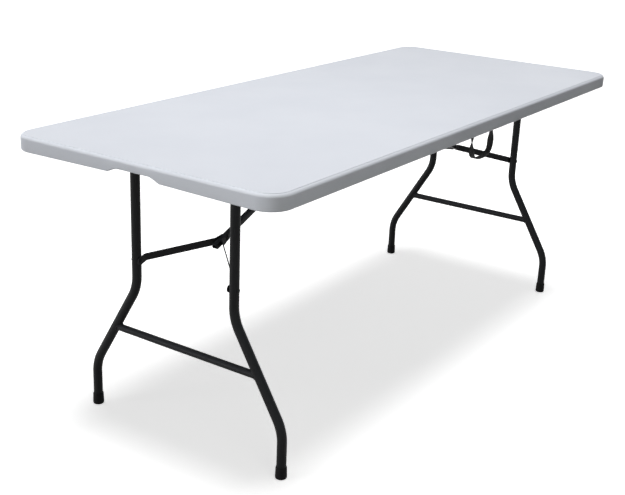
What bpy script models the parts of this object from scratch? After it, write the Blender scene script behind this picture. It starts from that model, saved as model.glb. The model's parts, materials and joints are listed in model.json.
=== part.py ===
"""Folding banquet table: a moulded top on two folding steel leg frames.

Metres, +Z up. The origin is on the floor under the middle of the top. X runs along the length and
Y across the width. Both leg frames are one design: it is drawn at the right end (+X), and the left
end holds the same frame turned half a turn about Z. Front is -Y, the side with the carrying strap.
"""

import math

import bmesh
import bpy
from mathutils import Matrix, Vector

# Table as a whole
TABLE_LENGTH = 1.830
TABLE_WIDTH = 0.762
TABLE_HEIGHT = 0.737

# Moulded top
CORNER_RADIUS = 0.055
PANEL_THICKNESS = 0.018
SKIRT_DEPTH = 0.0385
SKIRT_WALL = 0.012
TOP_EDGE_RADIUS = 0.0085
SKIRT_EDGE_RADIUS = 0.004
INNER_FILLET = 0.004
RIM_WIDTH = 0.0105
FIELD_STEP = 0.001
FIELD_SLOPE_RUN = 0.0015
NOTCH_TOP_WIDTH = 0.084
NOTCH_FLARE = 0.050
NOTCH_DEPTH = 0.0145
NOTCH_CORNER_RADIUS = 0.012
CHANNEL_DEPTH = 0.005
CHANNEL_WIDTH = 0.150
CHANNEL_END_MARGIN = 0.190

# Leg frames
LEG_INSET = 0.167
LEG_DIAMETER = 0.0235
TUBE_WALL = 0.0014
LEG_SPACING = 0.300
FOOT_SPACING = 0.590
BEND_BELOW_RIVET = 0.071
LOWER_BEND_HEIGHT = 0.121
LEG_BEND_RADIUS = 0.110
PIVOT_DROP = 0.023
PIVOT_OVERHANG = 0.071
CROSSBAR_DIAMETER = 0.0185
CROSSBAR_HEIGHT = 0.239
FOOT_DIAMETER = 0.0285
FOOT_HEIGHT = 0.030
FOOT_SOLE = 0.006

# Folding brace
STRUT_DROP = 0.263
STRUT_SLOPE = math.radians(19.25)
STRUT_HEIGHT = 0.019
STRUT_END_HEIGHT = 0.0125
STRUT_THICKNESS = 0.0025
STRUT_TAB_LENGTH = 0.018
STRUT_PLATE_LENGTH = 0.020
STRUT_BEND_RADIUS = 0.010
ARM_SLOPE = math.radians(22.25)
ARM_SIDE = 0.0135
ARM_WALL = 0.0015
ARM_TAIL = 0.036
ARM_PIVOT_DROP = 0.0115
RIVET_DIAMETER = 0.006
RIVET_HEAD_DIAMETER = 0.011
RIVET_HEAD_HEIGHT = 0.0022
LEG_RIVET_OUTER_HEIGHT = 0.0009

# Brackets and screws
BRACKET_THICKNESS = 0.0025
BRACKET_WIDTH = 0.034
PIVOT_FLANGE_LENGTH = 0.045
PIVOT_BRACKET_GAP = 0.010
ARM_FLANGE_LENGTH = 0.030
BRACKET_LIP = 0.006
SCREW_DIAMETER = 0.0042
SCREW_HEAD_DIAMETER = 0.009
SCREW_HEAD_HEIGHT = 0.0024
SCREW_BITE = 0.008

# Carrying strap
STRAP_WIDTH = 0.0165
STRAP_THICKNESS = 0.0026
STRAP_SPAN = 0.111
STRAP_DROP = 0.068
STRAP_TAIL = 0.0155
STRAP_OFFSET = 0.016
STRAP_SQUARENESS = 0.28
STRAP_TWIST_PART = 0.24

# Running and seating clearance between pieces
GAP = 0.0003

# Facets
TUBE_SIDES = 16
SMALL_SIDES = 12
CORNER_STEPS = 7
EDGE_STEPS = 4
BEND_STEPS = 6
STRAP_STEPS = 52
STRAP_FINE_STEPS = 720

# Levels and places worked out from the sizes above
UNDERSIDE = TABLE_HEIGHT - PANEL_THICKNESS
SKIRT_BOTTOM = TABLE_HEIGHT - SKIRT_DEPTH
CHANNEL_FLOOR = UNDERSIDE + CHANNEL_DEPTH
LEG_X = TABLE_LENGTH / 2 - LEG_INSET
PIVOT_Z = UNDERSIDE - PIVOT_DROP
STRUT_Z = PIVOT_Z - STRUT_DROP
UPPER_BEND_HEIGHT = STRUT_Z - BEND_BELOW_RIVET
ARM_PIVOT_Z = CHANNEL_FLOOR - ARM_PIVOT_DROP
LEG_RADIUS = LEG_DIAMETER / 2
STRUT_TAB_Y = LEG_SPACING / 2 - LEG_RADIUS - GAP - STRUT_THICKNESS / 2
STRUT_PLATE_Y = ARM_SIDE / 2 + GAP + STRUT_THICKNESS / 2
BRACKET_WEB_Y = LEG_SPACING / 2 + PIVOT_OVERHANG - PIVOT_BRACKET_GAP

X, Y, Z = Vector((1, 0, 0)), Vector((0, 1, 0)), Vector((0, 0, 1))
SQUARE = ((-1, -1), (1, -1), (1, 1), (-1, 1))
ENDS = (("left", math.pi), ("right", 0.0))
FRONT, REAR = ("front", -1.0), ("rear", 1.0)

WHITE_PLASTIC = ("white_plastic", (0.78, 0.80, 0.84), 0.45, 0.0)
BLACK_PAINT = ("black_paint", (0.022, 0.022, 0.024), 0.42, 0.3)
BLACK_RUBBER = ("black_rubber", (0.012, 0.012, 0.013), 0.7, 0.0)
ZINC_STEEL = ("zinc_steel", (0.55, 0.56, 0.58), 0.35, 1.0)
BLACK_WEBBING = ("black_webbing", (0.010, 0.010, 0.011), 0.85, 0.0)


def brace_lengths():
    """Strut length, arm length and arm pivot X for a brace that closes both open and folded.

    Folded by 90 degrees, the arm lies level and the strut reaches back from its end to the leg.
    """
    leg_part = STRUT_DROP
    rise = ARM_PIVOT_Z - PIVOT_Z
    height = ARM_PIVOT_Z - STRUT_Z
    half_tangent = math.tan(ARM_SLOPE / 2)
    p = math.cos(STRUT_SLOPE) + math.sin(STRUT_SLOPE) * half_tangent
    q = leg_part + height * half_tangent
    square, linear, constant = p * p - 1, -2 * p * q, q * q + rise * rise
    root = math.sqrt(linear * linear - 4 * square * constant)
    strut = (-linear - root) / (2 * square)
    arm = (height - strut * math.sin(STRUT_SLOPE)) / math.sin(ARM_SLOPE)
    pivot_x = LEG_X - strut * math.cos(STRUT_SLOPE) - arm * math.cos(ARM_SLOPE)
    return strut, arm, pivot_x


STRUT_LENGTH, ARM_LENGTH, ARM_PIVOT_X = brace_lengths()


# Shaping tools


def material(finish):
    """The Principled material of one finish, made once."""
    name, colour, roughness, metallic = finish
    found = bpy.data.materials.get(name)
    if found:
        return found
    made = bpy.data.materials.new(name)
    made.use_nodes = True
    shader = made.node_tree.nodes["Principled BSDF"]
    shader.inputs["Base Color"].default_value = (*colour, 1.0)
    shader.inputs["Roughness"].default_value = roughness
    shader.inputs["Metallic"].default_value = metallic
    made.diffuse_color = (*colour, 1.0)
    return made


def finished_mesh(name, bm):
    """Turns a closed bmesh into a mesh with outward faces."""
    bmesh.ops.recalc_face_normals(bm, faces=bm.faces)
    mesh = bpy.data.meshes.new(name)
    bm.to_mesh(mesh)
    bm.free()
    return mesh


def loft(name, rings, loop=False):
    """A closed mesh through rings of points: capped at both ends, or joined last to first."""
    bm = bmesh.new()
    rows = [[bm.verts.new(point) for point in ring] for ring in rings]
    pairs = list(zip(rows, rows[1:]))
    if loop:
        pairs.append((rows[-1], rows[0]))
    for lower, upper in pairs:
        for i in range(len(lower)):
            j = (i + 1) % len(lower)
            bm.faces.new((lower[i], lower[j], upper[j], upper[i]))
    if not loop:
        bm.faces.new(rows[0])
        bm.faces.new(rows[-1])
    return finished_mesh(name, bm)


def circle(centre, radius, across, up, sides):
    """Points round a circle that lies along the unit vectors across and up."""
    turns = [2 * math.pi * (i + 0.5) / sides for i in range(sides)]
    return [centre + radius * (math.cos(t) * across + math.sin(t) * up) for t in turns]


def turned(name, profile, axis, sides):
    """A turned solid from (radius, distance along axis) pairs, flat at both ends."""
    across = axis.orthogonal().normalized()
    up = axis.cross(across)
    return loft(name, [circle(axis * d, r, across, up, sides) for r, d in profile])


def tube(name, path, outer, inner, across, sides):
    """A hollow tube along a flat path. across is the unit vector square to the path's plane."""
    outside, inside = [], []
    for i, point in enumerate(path):
        before, after = path[max(i - 1, 0)], path[min(i + 1, len(path) - 1)]
        up = (after - before).normalized().cross(across)
        outside.append(circle(point, outer, across, up, sides))
        inside.append(circle(point, inner, across, up, sides))
    return loft(name, outside + inside[::-1], loop=True)


def bar_cutter(start, end, radius, sides=SMALL_SIDES):
    """A round rod between two points, for cutting holes and saddles."""
    axis = (end - start).normalized()
    across = axis.orthogonal().normalized()
    up = axis.cross(across)
    return loft("cutter", [circle(p, radius, across, up, sides) for p in (start, end)])


def rounded_path(corners, radius, steps):
    """A 2-D path through the corners, with an arc of this radius at each inner corner."""
    path = [Vector(corners[0])]
    for a, b, c in zip(corners, corners[1:], corners[2:]):
        a, b, c = Vector(a), Vector(b), Vector(c)
        into, out = (b - a).normalized(), (c - b).normalized()
        turn = into.angle_signed(out)
        reach = radius * math.tan(abs(turn) / 2)
        start = b - into * reach
        side = math.copysign(1.0, turn)
        centre = start + Vector((into.y, -into.x)) * radius * side
        for i in range(steps + 1):
            path.append(centre + Matrix.Rotation(-turn * i / steps, 2) @ (start - centre))
    path.append(Vector(corners[-1]))
    return path


def prism(name, outline, origin, along_u, along_v, sweep):
    """Extrudes a 2-D outline, laid along two unit vectors at origin, by the vector sweep."""
    ring = [origin + along_u * u + along_v * v for u, v in outline]
    return loft(name, [ring, [point + sweep for point in ring]])


def carve(mesh, cutters, operation="DIFFERENCE"):
    """The mesh after a Boolean with each cutter mesh in turn."""
    scene = bpy.context.scene.collection
    base = bpy.data.objects.new("carving", mesh)
    scene.objects.link(base)
    tools = []
    for cutter in cutters:
        tool = bpy.data.objects.new("carving_tool", cutter)
        scene.objects.link(tool)
        tools.append(tool)
        step = base.modifiers.new("cut", "BOOLEAN")
        step.operation = operation
        step.solver = "EXACT"
        step.object = tool
    graph = bpy.context.evaluated_depsgraph_get()
    result = bpy.data.meshes.new_from_object(base.evaluated_get(graph))
    result.name = mesh.name
    for helper in tools + [base]:
        bpy.data.objects.remove(helper)
    return result


def place(name, mesh, finish, parent=None, location=(0.0, 0.0, 0.0)):
    """Makes the named object for one sub-part."""
    obj = bpy.data.objects.new(name, mesh)
    bpy.context.scene.collection.objects.link(obj)
    if not mesh.materials:
        mesh.materials.append(material(finish))
    mesh.shade_smooth()
    mesh.set_sharp_from_angle(angle=math.radians(35))
    obj.location = location
    obj.parent = parent
    return obj


def pivot(name, location, parent=None, turn=0.0):
    """An empty that carries what turns about a joint's axis."""
    empty = bpy.data.objects.new(name, None)
    bpy.context.scene.collection.objects.link(empty)
    empty.location = location
    empty.rotation_euler.z = turn
    empty.parent = parent
    return empty


# Moulded top


def top_outline(inset, height):
    """The top's rounded rectangle, drawn in by inset, at one height."""
    half_x = TABLE_LENGTH / 2 - inset
    half_y = TABLE_WIDTH / 2 - inset
    radius = CORNER_RADIUS - inset
    points = []
    for corner, (sx, sy) in enumerate(((1, 1), (-1, 1), (-1, -1), (1, -1))):
        centre = Vector((sx * (half_x - radius), sy * (half_y - radius), height))
        for step in range(CORNER_STEPS + 1):
            t = math.pi / 2 * (corner + step / CORNER_STEPS)
            points.append(centre + radius * Vector((math.cos(t), math.sin(t), 0.0)))
    return points


def quarter(inset, height, radius, start):
    """(inset, height) points of a quarter round about a centre, from the angle start."""
    turns = [start + math.pi / 2 * i / EDGE_STEPS for i in range(EDGE_STEPS + 1)]
    return [(inset + radius * math.cos(t), height + radius * math.sin(t)) for t in turns]


def top_profile():
    """(inset, height) round the top's edge, from the recess below to the raised field above."""
    bulge = INNER_FILLET * (1 - math.sqrt(0.5))
    fillet = [
        (SKIRT_WALL + INNER_FILLET, UNDERSIDE),
        (SKIRT_WALL + bulge, UNDERSIDE - bulge),
        (SKIRT_WALL, UNDERSIDE - INNER_FILLET),
    ]
    edge = SKIRT_EDGE_RADIUS
    inner_edge = quarter(SKIRT_WALL - edge, SKIRT_BOTTOM + edge, edge, 0.0)
    outer_edge = quarter(edge, SKIRT_BOTTOM + edge, edge, math.pi / 2)
    lower = [(i, 2 * (SKIRT_BOTTOM + edge) - h) for i, h in inner_edge + outer_edge]
    rim = TABLE_HEIGHT - FIELD_STEP
    upper = quarter(TOP_EDGE_RADIUS, rim - TOP_EDGE_RADIUS, TOP_EDGE_RADIUS, math.pi / 2)[::-1]
    field = [(RIM_WIDTH, rim), (RIM_WIDTH + FIELD_SLOPE_RUN, TABLE_HEIGHT)]
    return fillet + lower + upper + field


def notch_cutter(side):
    """The hand notch in the skirt at the middle of one short end."""
    half_top = NOTCH_TOP_WIDTH / 2
    clear = NOTCH_DEPTH
    flare = NOTCH_FLARE * (NOTCH_DEPTH + clear) / NOTCH_DEPTH
    bottom, top = SKIRT_BOTTOM - clear, SKIRT_BOTTOM + NOTCH_DEPTH
    corners = [(-half_top - flare, bottom), (-half_top, top), (half_top, top), (half_top + flare, bottom)]
    outline = rounded_path(corners, NOTCH_CORNER_RADIUS, EDGE_STEPS)
    start = X * side * (TABLE_LENGTH / 2 - 2 * SKIRT_WALL)
    sweep = X * side * 3 * SKIRT_WALL
    return prism("notch", outline, start, Y, Z, sweep)


def channel_cutter():
    """The long shallow channel under the panel that the folded brace lies in."""
    half_x = TABLE_LENGTH / 2 - CHANNEL_END_MARGIN
    half_y = CHANNEL_WIDTH / 2
    outline = [(half_x * x, half_y * y) for x, y in SQUARE]
    base = Z * (UNDERSIDE - CHANNEL_DEPTH)
    return prism("channel", outline, base, X, Y, Z * 2 * CHANNEL_DEPTH)


def screw_hole(seat, inward):
    """A pilot hole that starts at seat and runs along the unit vector inward."""
    deep = seat + inward * (SCREW_BITE + BRACKET_THICKNESS)
    return bar_cutter(seat - inward * BRACKET_THICKNESS, deep, SCREW_DIAMETER / 2 + GAP, SMALL_SIDES)


def make_tabletop():
    """The one-piece top: panel, skirt, raised field, hand notches, brace channel and pilot holes."""
    body = loft("tabletop", [top_outline(inset, height) for inset, height in top_profile()])
    cutters = [notch_cutter(1), notch_cutter(-1), channel_cutter()]
    for _, turn in ENDS:
        spin = Matrix.Rotation(turn, 3, "Z")
        for x, y in pivot_screw_places():
            cutters.append(screw_hole(spin @ Vector((x, y, UNDERSIDE)), Z))
        for x, y in arm_screw_places():
            cutters.append(screw_hole(spin @ Vector((x, y, CHANNEL_FLOOR)), Z))
    for x, z in strap_screw_places():
        cutters.append(screw_hole(Vector((x, strap_wall_y(), z)), -Y))
    place("tabletop", carve(body, cutters), WHITE_PLASTIC)


# Fasteners


def screw_mesh(grip, axis):
    """A pan-head screw: its head seats at the origin, and its shank runs along axis."""
    head, shank = SCREW_HEAD_DIAMETER / 2, SCREW_DIAMETER / 2
    profile = [
        (head * 0.55, -SCREW_HEAD_HEIGHT),
        (head * 0.9, -SCREW_HEAD_HEIGHT * 0.7),
        (head, -SCREW_HEAD_HEIGHT * 0.2),
        (head, -GAP),
        (shank, -GAP),
        (shank, grip + SCREW_BITE),
    ]
    return turned("screw", profile, axis, SMALL_SIDES)


def rivet_head(start, direction, height=RIVET_HEAD_HEIGHT):
    """(radius, distance) points of a domed rivet head that stands on start."""
    head = RIVET_HEAD_DIAMETER / 2
    dome = ((1.0, 0.0), (1.0, 0.35), (0.8, 0.8), (0.45, 1.0))
    return [(head * r, start + direction * height * h) for r, h in dome]


def pivot_screw_places():
    """(x, y) of the screws through the pivot brackets at the right end."""
    spots = []
    for _, side in (FRONT, REAR):
        for share in (0.38, 0.80):
            y = BRACKET_WEB_Y + PIVOT_FLANGE_LENGTH * share
            spots.append((LEG_X, side * y))
    return spots


def arm_screw_places():
    """(x, y) of the screws through the arm bracket at the right end."""
    y = STRUT_PLATE_Y + ARM_FLANGE_LENGTH / 2
    return [(ARM_PIVOT_X, -y), (ARM_PIVOT_X, y)]


def strap_screw_places():
    """(x, z) of the screws through the strap's two ends."""
    z = SKIRT_BOTTOM + STRAP_TAIL - STRAP_WIDTH / 2
    return [(STRAP_OFFSET - STRAP_SPAN / 2, z), (STRAP_OFFSET + STRAP_SPAN / 2, z)]


# Leg frame


def leg_corners():
    """(y, z) corners of a leg's path from the pivot tube down to the foot."""
    upper, lower = LEG_SPACING / 2, FOOT_SPACING / 2
    return [
        (upper, PIVOT_Z),
        (upper, UPPER_BEND_HEIGHT),
        (lower, LOWER_BEND_HEIGHT),
        (lower, FOOT_SOLE + GAP),
    ]


def leg_mesh(side):
    """A bent leg tube, saddled under the pivot tube and drilled for its rivet, about the pivot."""
    flat = rounded_path(leg_corners(), LEG_BEND_RADIUS, BEND_STEPS)
    path = [Vector((0.0, side * y, z - PIVOT_Z)) for y, z in flat]
    leg = tube("leg", path, LEG_RADIUS, LEG_RADIUS - TUBE_WALL, X, TUBE_SIDES)
    reach = Y * LEG_SPACING
    saddle = bar_cutter(-reach, reach, LEG_RADIUS + GAP, TUBE_SIDES)
    rivet_at = Z * (STRUT_Z - PIVOT_Z)
    drill = bar_cutter(rivet_at - reach, rivet_at + reach, RIVET_DIAMETER / 2 + GAP)
    return carve(leg, [saddle, drill])


def crossbar_mesh():
    """The bar welded between the two splayed legs, with its ends saddled to them."""
    (_, _), (y1, z1), (y2, z2), _ = leg_corners()
    share = (z1 - CROSSBAR_HEIGHT) / (z1 - z2)
    reach = y1 + (y2 - y1) * share
    level = CROSSBAR_HEIGHT - PIVOT_Z
    radius = CROSSBAR_DIAMETER / 2
    path = [Vector((0.0, -reach, level)), Vector((0.0, reach, level))]
    bar = tube("crossbar", path, radius, radius - TUBE_WALL, X, SMALL_SIDES)
    saddles = []
    for side in (-1, 1):
        upper = Vector((0.0, side * y1, z1 - PIVOT_Z))
        lower = Vector((0.0, side * y2, z2 - PIVOT_Z))
        saddles.append(bar_cutter(upper, lower, LEG_RADIUS + GAP, TUBE_SIDES))
    return carve(bar, saddles)


def pivot_tube_mesh():
    """The tube that the frame swings on, welded across the tops of the legs."""
    half = LEG_SPACING / 2 + PIVOT_OVERHANG
    inner = LEG_RADIUS - TUBE_WALL
    return tube("pivot_tube", [-Y * half, Y * half], LEG_RADIUS, inner, X, TUBE_SIDES)


def foot_mesh():
    """The moulded cap on a leg's end, with its sole at the origin."""
    outer, bore = FOOT_DIAMETER / 2, LEG_RADIUS + GAP
    profile = [
        (outer * 0.82, 0.0),
        (outer * 0.96, FOOT_HEIGHT * 0.06),
        (outer, FOOT_HEIGHT * 0.2),
        (outer * 0.97, FOOT_HEIGHT * 0.6),
        (outer * 0.95, FOOT_HEIGHT * 0.93),
        (outer * 0.90, FOOT_HEIGHT),
        (bore, FOOT_HEIGHT),
        (bore, FOOT_SOLE),
    ]
    return turned("foot", profile, Z, TUBE_SIDES)


def leg_rivet_mesh(side):
    """The rivet that a strut swings on: through the strut's tab and both walls of the leg."""
    shank = RIVET_DIAMETER / 2
    inside = STRUT_TAB_Y - STRUT_THICKNESS / 2 - GAP
    outside = LEG_SPACING / 2 + LEG_RADIUS + GAP
    profile = rivet_head(inside, -1)[::-1]
    profile += [(shank, inside), (shank, outside)]
    profile += rivet_head(outside, 1, LEG_RIVET_OUTER_HEIGHT)
    return turned("leg_rivet", profile, Y * side, SMALL_SIDES)


def make_leg_frame(end, frame):
    """The welded frame of one end, carried by an empty on the pivot axis."""
    hinge = pivot(f"{end}_leg_hinge", (LEG_X, 0.0, PIVOT_Z), frame)
    place(f"{end}_pivot_tube", pivot_tube_mesh(), BLACK_PAINT, hinge)
    place(f"{end}_crossbar", crossbar_mesh(), BLACK_PAINT, hinge)
    for name, side in sides_of(end):
        place(f"{end}_{name}_leg", leg_mesh(side), BLACK_PAINT, hinge)
        sole = (0.0, side * FOOT_SPACING / 2, -PIVOT_Z)
        place(f"{end}_{name}_foot", foot_mesh(), BLACK_RUBBER, hinge, sole)
        rivet_at = (0.0, 0.0, STRUT_Z - PIVOT_Z)
        place(f"{end}_{name}_leg_rivet", leg_rivet_mesh(side), BLACK_PAINT, hinge, rivet_at)


# Folding brace


def strut_outline():
    """(along, y) path of a strut seen from above: leg tab, slanted run and pivot plate."""
    corners = [
        (-STRUT_HEIGHT / 2, STRUT_TAB_Y),
        (STRUT_TAB_LENGTH, STRUT_TAB_Y),
        (STRUT_LENGTH - STRUT_PLATE_LENGTH, STRUT_PLATE_Y),
        (STRUT_LENGTH + STRUT_END_HEIGHT / 2, STRUT_PLATE_Y),
    ]
    return rounded_path(corners, STRUT_BEND_RADIUS, EDGE_STEPS)


def strut_half_height(along):
    """Half of the strut's height at a distance from its leg rivet: it narrows along the plate."""
    share = (along - STRUT_LENGTH + STRUT_PLATE_LENGTH) / STRUT_PLATE_LENGTH
    share = min(max(share, 0.0), 1.0)
    return (STRUT_HEIGHT + (STRUT_END_HEIGHT - STRUT_HEIGHT) * share) / 2


def with_round_ends(path):
    """Pairs of path point and half height, with extra points so that both ends are round."""
    steps = [math.sin(math.pi / 2 * i / EDGE_STEPS) for i in range(EDGE_STEPS)] + [0.99]
    rounds = [(1 - s, math.sqrt(1 - s * s)) for s in steps]
    first, last = path[0], path[-1]
    near, far = STRUT_HEIGHT / 2, STRUT_END_HEIGHT / 2
    start = [(first + Vector((near * back, 0)), near * share) for back, share in rounds][::-1]
    finish = [(last - Vector((far * back, 0)), far * share) for back, share in rounds]
    return start + [(point, strut_half_height(point.x)) for point in path[1:-1]] + finish


def strut_mesh(side):
    """A flat strut about its leg rivet. Along runs from the leg to the joint, up its slope."""
    along = Vector((-math.cos(STRUT_SLOPE), 0.0, math.sin(STRUT_SLOPE)))
    high = Vector((math.sin(STRUT_SLOPE), 0.0, math.cos(STRUT_SLOPE)))
    wide = Y * side
    stations = with_round_ends(strut_outline())
    rings = []
    for i, (point, half) in enumerate(stations):
        before = stations[max(i - 1, 0)][0]
        after = stations[min(i + 1, len(stations) - 1)][0]
        way = (after - before).normalized()
        edge = Vector((-way.y, way.x)) * STRUT_THICKNESS / 2
        corners = [(point + edge * across, half * rise) for across, rise in SQUARE]
        rings.append([along * flat.x + wide * flat.y + high * level for flat, level in corners])
    reach = Y * LEG_SPACING
    joint = along * STRUT_LENGTH
    hole = RIVET_DIAMETER / 2 + GAP
    holes = [bar_cutter(centre - reach, centre + reach, hole) for centre in (Vector(), joint)]
    return carve(loft("strut", rings), holes)


def joint_rivet_mesh(side):
    """The rivet in a strut's pivot plate, flush with the plate's inner face."""
    shank = RIVET_DIAMETER / 2
    inner = STRUT_PLATE_Y - STRUT_THICKNESS / 2
    outer = STRUT_PLATE_Y + STRUT_THICKNESS / 2 + GAP
    profile = [(shank, inner), (shank, outer)] + rivet_head(outer, 1)
    return turned("joint_rivet", profile, Y * side, SMALL_SIDES)


def make_struts(end, frame):
    """The pair of struts of one end, carried by an empty on the leg rivets' axis."""
    hinge = pivot(f"{end}_strut_hinge", (LEG_X, 0.0, STRUT_Z), frame)
    joint = (-STRUT_LENGTH * math.cos(STRUT_SLOPE), 0.0, STRUT_LENGTH * math.sin(STRUT_SLOPE))
    for name, side in sides_of(end):
        place(f"{end}_{name}_strut", strut_mesh(side), BLACK_PAINT, hinge)
        place(f"{end}_{name}_joint_rivet", joint_rivet_mesh(side), BLACK_PAINT, hinge, joint)


def arm_mesh():
    """The square tube arm about its upper pivot, with a rounded tail past the joint."""
    down = Vector((math.cos(ARM_SLOPE), 0.0, -math.sin(ARM_SLOPE)))
    high = Vector((math.sin(ARM_SLOPE), 0.0, math.cos(ARM_SLOPE)))
    half = ARM_SIDE / 2
    bevel = ARM_WALL
    rounds = [math.pi / 2 * i / EDGE_STEPS for i in range(EDGE_STEPS)]
    ends = [(half * math.sin(t), max(half * math.cos(t), ARM_WALL)) for t in rounds]
    top = [(-along, level) for along, level in ends][::-1]
    tail = [(ARM_LENGTH + ARM_TAIL + along, level) for along, level in ends]
    rings = []
    for distance, level in top + tail:
        cut = min(bevel, level / 2)
        section = []
        for y, z in SQUARE:
            flat, upright = (y * (half - bevel), z * level), (y * half, z * (level - cut))
            section += [flat, upright] if y * z < 0 else [upright, flat]
        rings.append([down * distance + Y * y + high * z for y, z in section])
    square = [((half - ARM_WALL) * y, (half - ARM_WALL) * z) for y, z in SQUARE]
    bore_length = ARM_SIDE + ARM_LENGTH + ARM_TAIL
    bore = prism("bore", square, down * -ARM_SIDE, Y, high, down * bore_length)
    reach = Y * ARM_SIDE
    joint = down * ARM_LENGTH
    hole = RIVET_DIAMETER / 2 + GAP
    holes = [bar_cutter(centre - reach, centre + reach, hole) for centre in (Vector(), joint)]
    return carve(loft("brace_arm", rings), [bore] + holes)


def make_arm(end, frame):
    """The arm of one end and its joint bush, carried by an empty on the arm's pivot."""
    hinge = pivot(f"{end}_arm_hinge", (ARM_PIVOT_X, 0.0, ARM_PIVOT_Z), frame)
    place(f"{end}_brace_arm", arm_mesh(), BLACK_PAINT, hinge)
    joint = (ARM_LENGTH * math.cos(ARM_SLOPE), 0.0, -ARM_LENGTH * math.sin(ARM_SLOPE))
    half, shank = ARM_SIDE / 2, RIVET_DIAMETER / 2
    bush = turned("brace_bush", [(shank, -half), (shank, half)], Y, SMALL_SIDES)
    place(f"{end}_brace_bush", bush, ZINC_STEEL, hinge, joint)


# Brackets under the panel


def pivot_bracket_mesh(side):
    """The angle bracket that one end of the pivot tube turns in, about the tube's axis."""
    top = UNDERSIDE - PIVOT_Z - GAP
    flange = top - BRACKET_THICKNESS
    foot = -LEG_RADIUS - BRACKET_LIP
    near, web, far = BRACKET_WEB_Y, BRACKET_WEB_Y + BRACKET_THICKNESS, BRACKET_WEB_Y + PIVOT_FLANGE_LENGTH
    outline = [(near, foot), (web, foot), (web, flange), (far, flange), (far, top), (near, top)]
    body = prism("pivot_bracket", outline, X * (-BRACKET_WIDTH / 2), Y * side, Z, X * BRACKET_WIDTH)
    bore = (Y * side * (near - BRACKET_THICKNESS), Y * side * (web + BRACKET_THICKNESS))
    cutters = [bar_cutter(*bore, LEG_RADIUS + GAP, TUBE_SIDES)]
    for x, y in pivot_screw_places():
        if y * side > 0:
            centre = Vector((x - LEG_X, y, flange))
            lift = Z * 2 * BRACKET_THICKNESS
            cutters.append(bar_cutter(centre - lift, centre + lift, SCREW_DIAMETER / 2 + GAP))
    return carve(body, cutters)


def arm_bracket_mesh():
    """The two-eared bracket in the channel that the arm swings in, about the arm's pivot."""
    top = CHANNEL_FLOOR - ARM_PIVOT_Z - GAP
    flange = top - BRACKET_THICKNESS
    foot = -RIVET_DIAMETER / 2 - BRACKET_LIP
    near = ARM_SIDE / 2 + GAP
    web = near + BRACKET_THICKNESS
    far = web + ARM_FLANGE_LENGTH
    half = [(near, flange), (near, foot), (web, foot), (web, flange), (far, flange), (far, top)]
    outline = half + [(-y, z) for y, z in half[::-1]]
    body = prism("arm_bracket", outline, X * (-BRACKET_WIDTH / 2), Y, Z, X * BRACKET_WIDTH)
    cutters = [bar_cutter(-Y * far, Y * far, RIVET_DIAMETER / 2 + GAP)]
    for x, y in arm_screw_places():
        centre = Vector((x - ARM_PIVOT_X, y, flange))
        lift = Z * 2 * BRACKET_THICKNESS
        cutters.append(bar_cutter(centre - lift, centre + lift, SCREW_DIAMETER / 2 + GAP))
    return carve(body, cutters)


def arm_pin_mesh():
    """The headed pin through the arm bracket's ears and the arm's upper end."""
    shank = RIVET_DIAMETER / 2
    outside = ARM_SIDE / 2 + GAP + BRACKET_THICKNESS + GAP
    profile = rivet_head(-outside, -1)[::-1] + [(shank, -outside), (shank, outside)]
    profile += rivet_head(outside, 1)
    return turned("arm_pin", profile, Y, SMALL_SIDES)


def make_brackets(end, frame):
    """The brackets, pin and screws that hold one end's frame and arm to the panel."""
    axle_at = (LEG_X, 0.0, PIVOT_Z)
    for name, side in sides_of(end):
        place(f"{end}_{name}_pivot_bracket", pivot_bracket_mesh(side), ZINC_STEEL, frame, axle_at)
    screw = screw_mesh(BRACKET_THICKNESS, Z)
    seat = UNDERSIDE - GAP - BRACKET_THICKNESS
    labels = [f"{name}_pivot_screw_{n}" for name, _ in sides_of(end) for n in (1, 2)]
    for label, (x, y) in zip(labels, pivot_screw_places()):
        place(f"{end}_{label}", screw, ZINC_STEEL, frame, (x, y, seat))
    pivot_at = (ARM_PIVOT_X, 0.0, ARM_PIVOT_Z)
    place(f"{end}_arm_bracket", arm_bracket_mesh(), ZINC_STEEL, frame, pivot_at)
    place(f"{end}_arm_pin", arm_pin_mesh(), ZINC_STEEL, frame, pivot_at)
    seat = CHANNEL_FLOOR - GAP - BRACKET_THICKNESS
    for (name, _), (x, y) in zip(sides_of(end), arm_screw_places()):
        place(f"{end}_{name}_arm_screw", screw, ZINC_STEEL, frame, (x, y, seat))


# Carrying strap


def strap_wall_y():
    """Y of the skirt's inner face at the front, which the strap is screwed to."""
    return -TABLE_WIDTH / 2 + SKIRT_WALL


def strap_line():
    """Closely set points along the strap's middle, from its left end round to its right end."""
    middle_y = strap_wall_y() + GAP + STRAP_THICKNESS / 2
    half = STRAP_SPAN / 2
    flat = [(-half, STRAP_TAIL)]
    for i in range(STRAP_FINE_STEPS + 1):
        t = math.pi * i / STRAP_FINE_STEPS
        # A power under 1 makes the loop hang with squarer corners than an ellipse.
        sag = max(math.sin(t), 0.0) ** STRAP_SQUARENESS
        flat.append((-half * math.cos(t), -STRAP_DROP * sag))
    flat.append((half, STRAP_TAIL))
    return [Vector((STRAP_OFFSET + x, middle_y, SKIRT_BOTTOM + z)) for x, z in flat]


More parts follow.
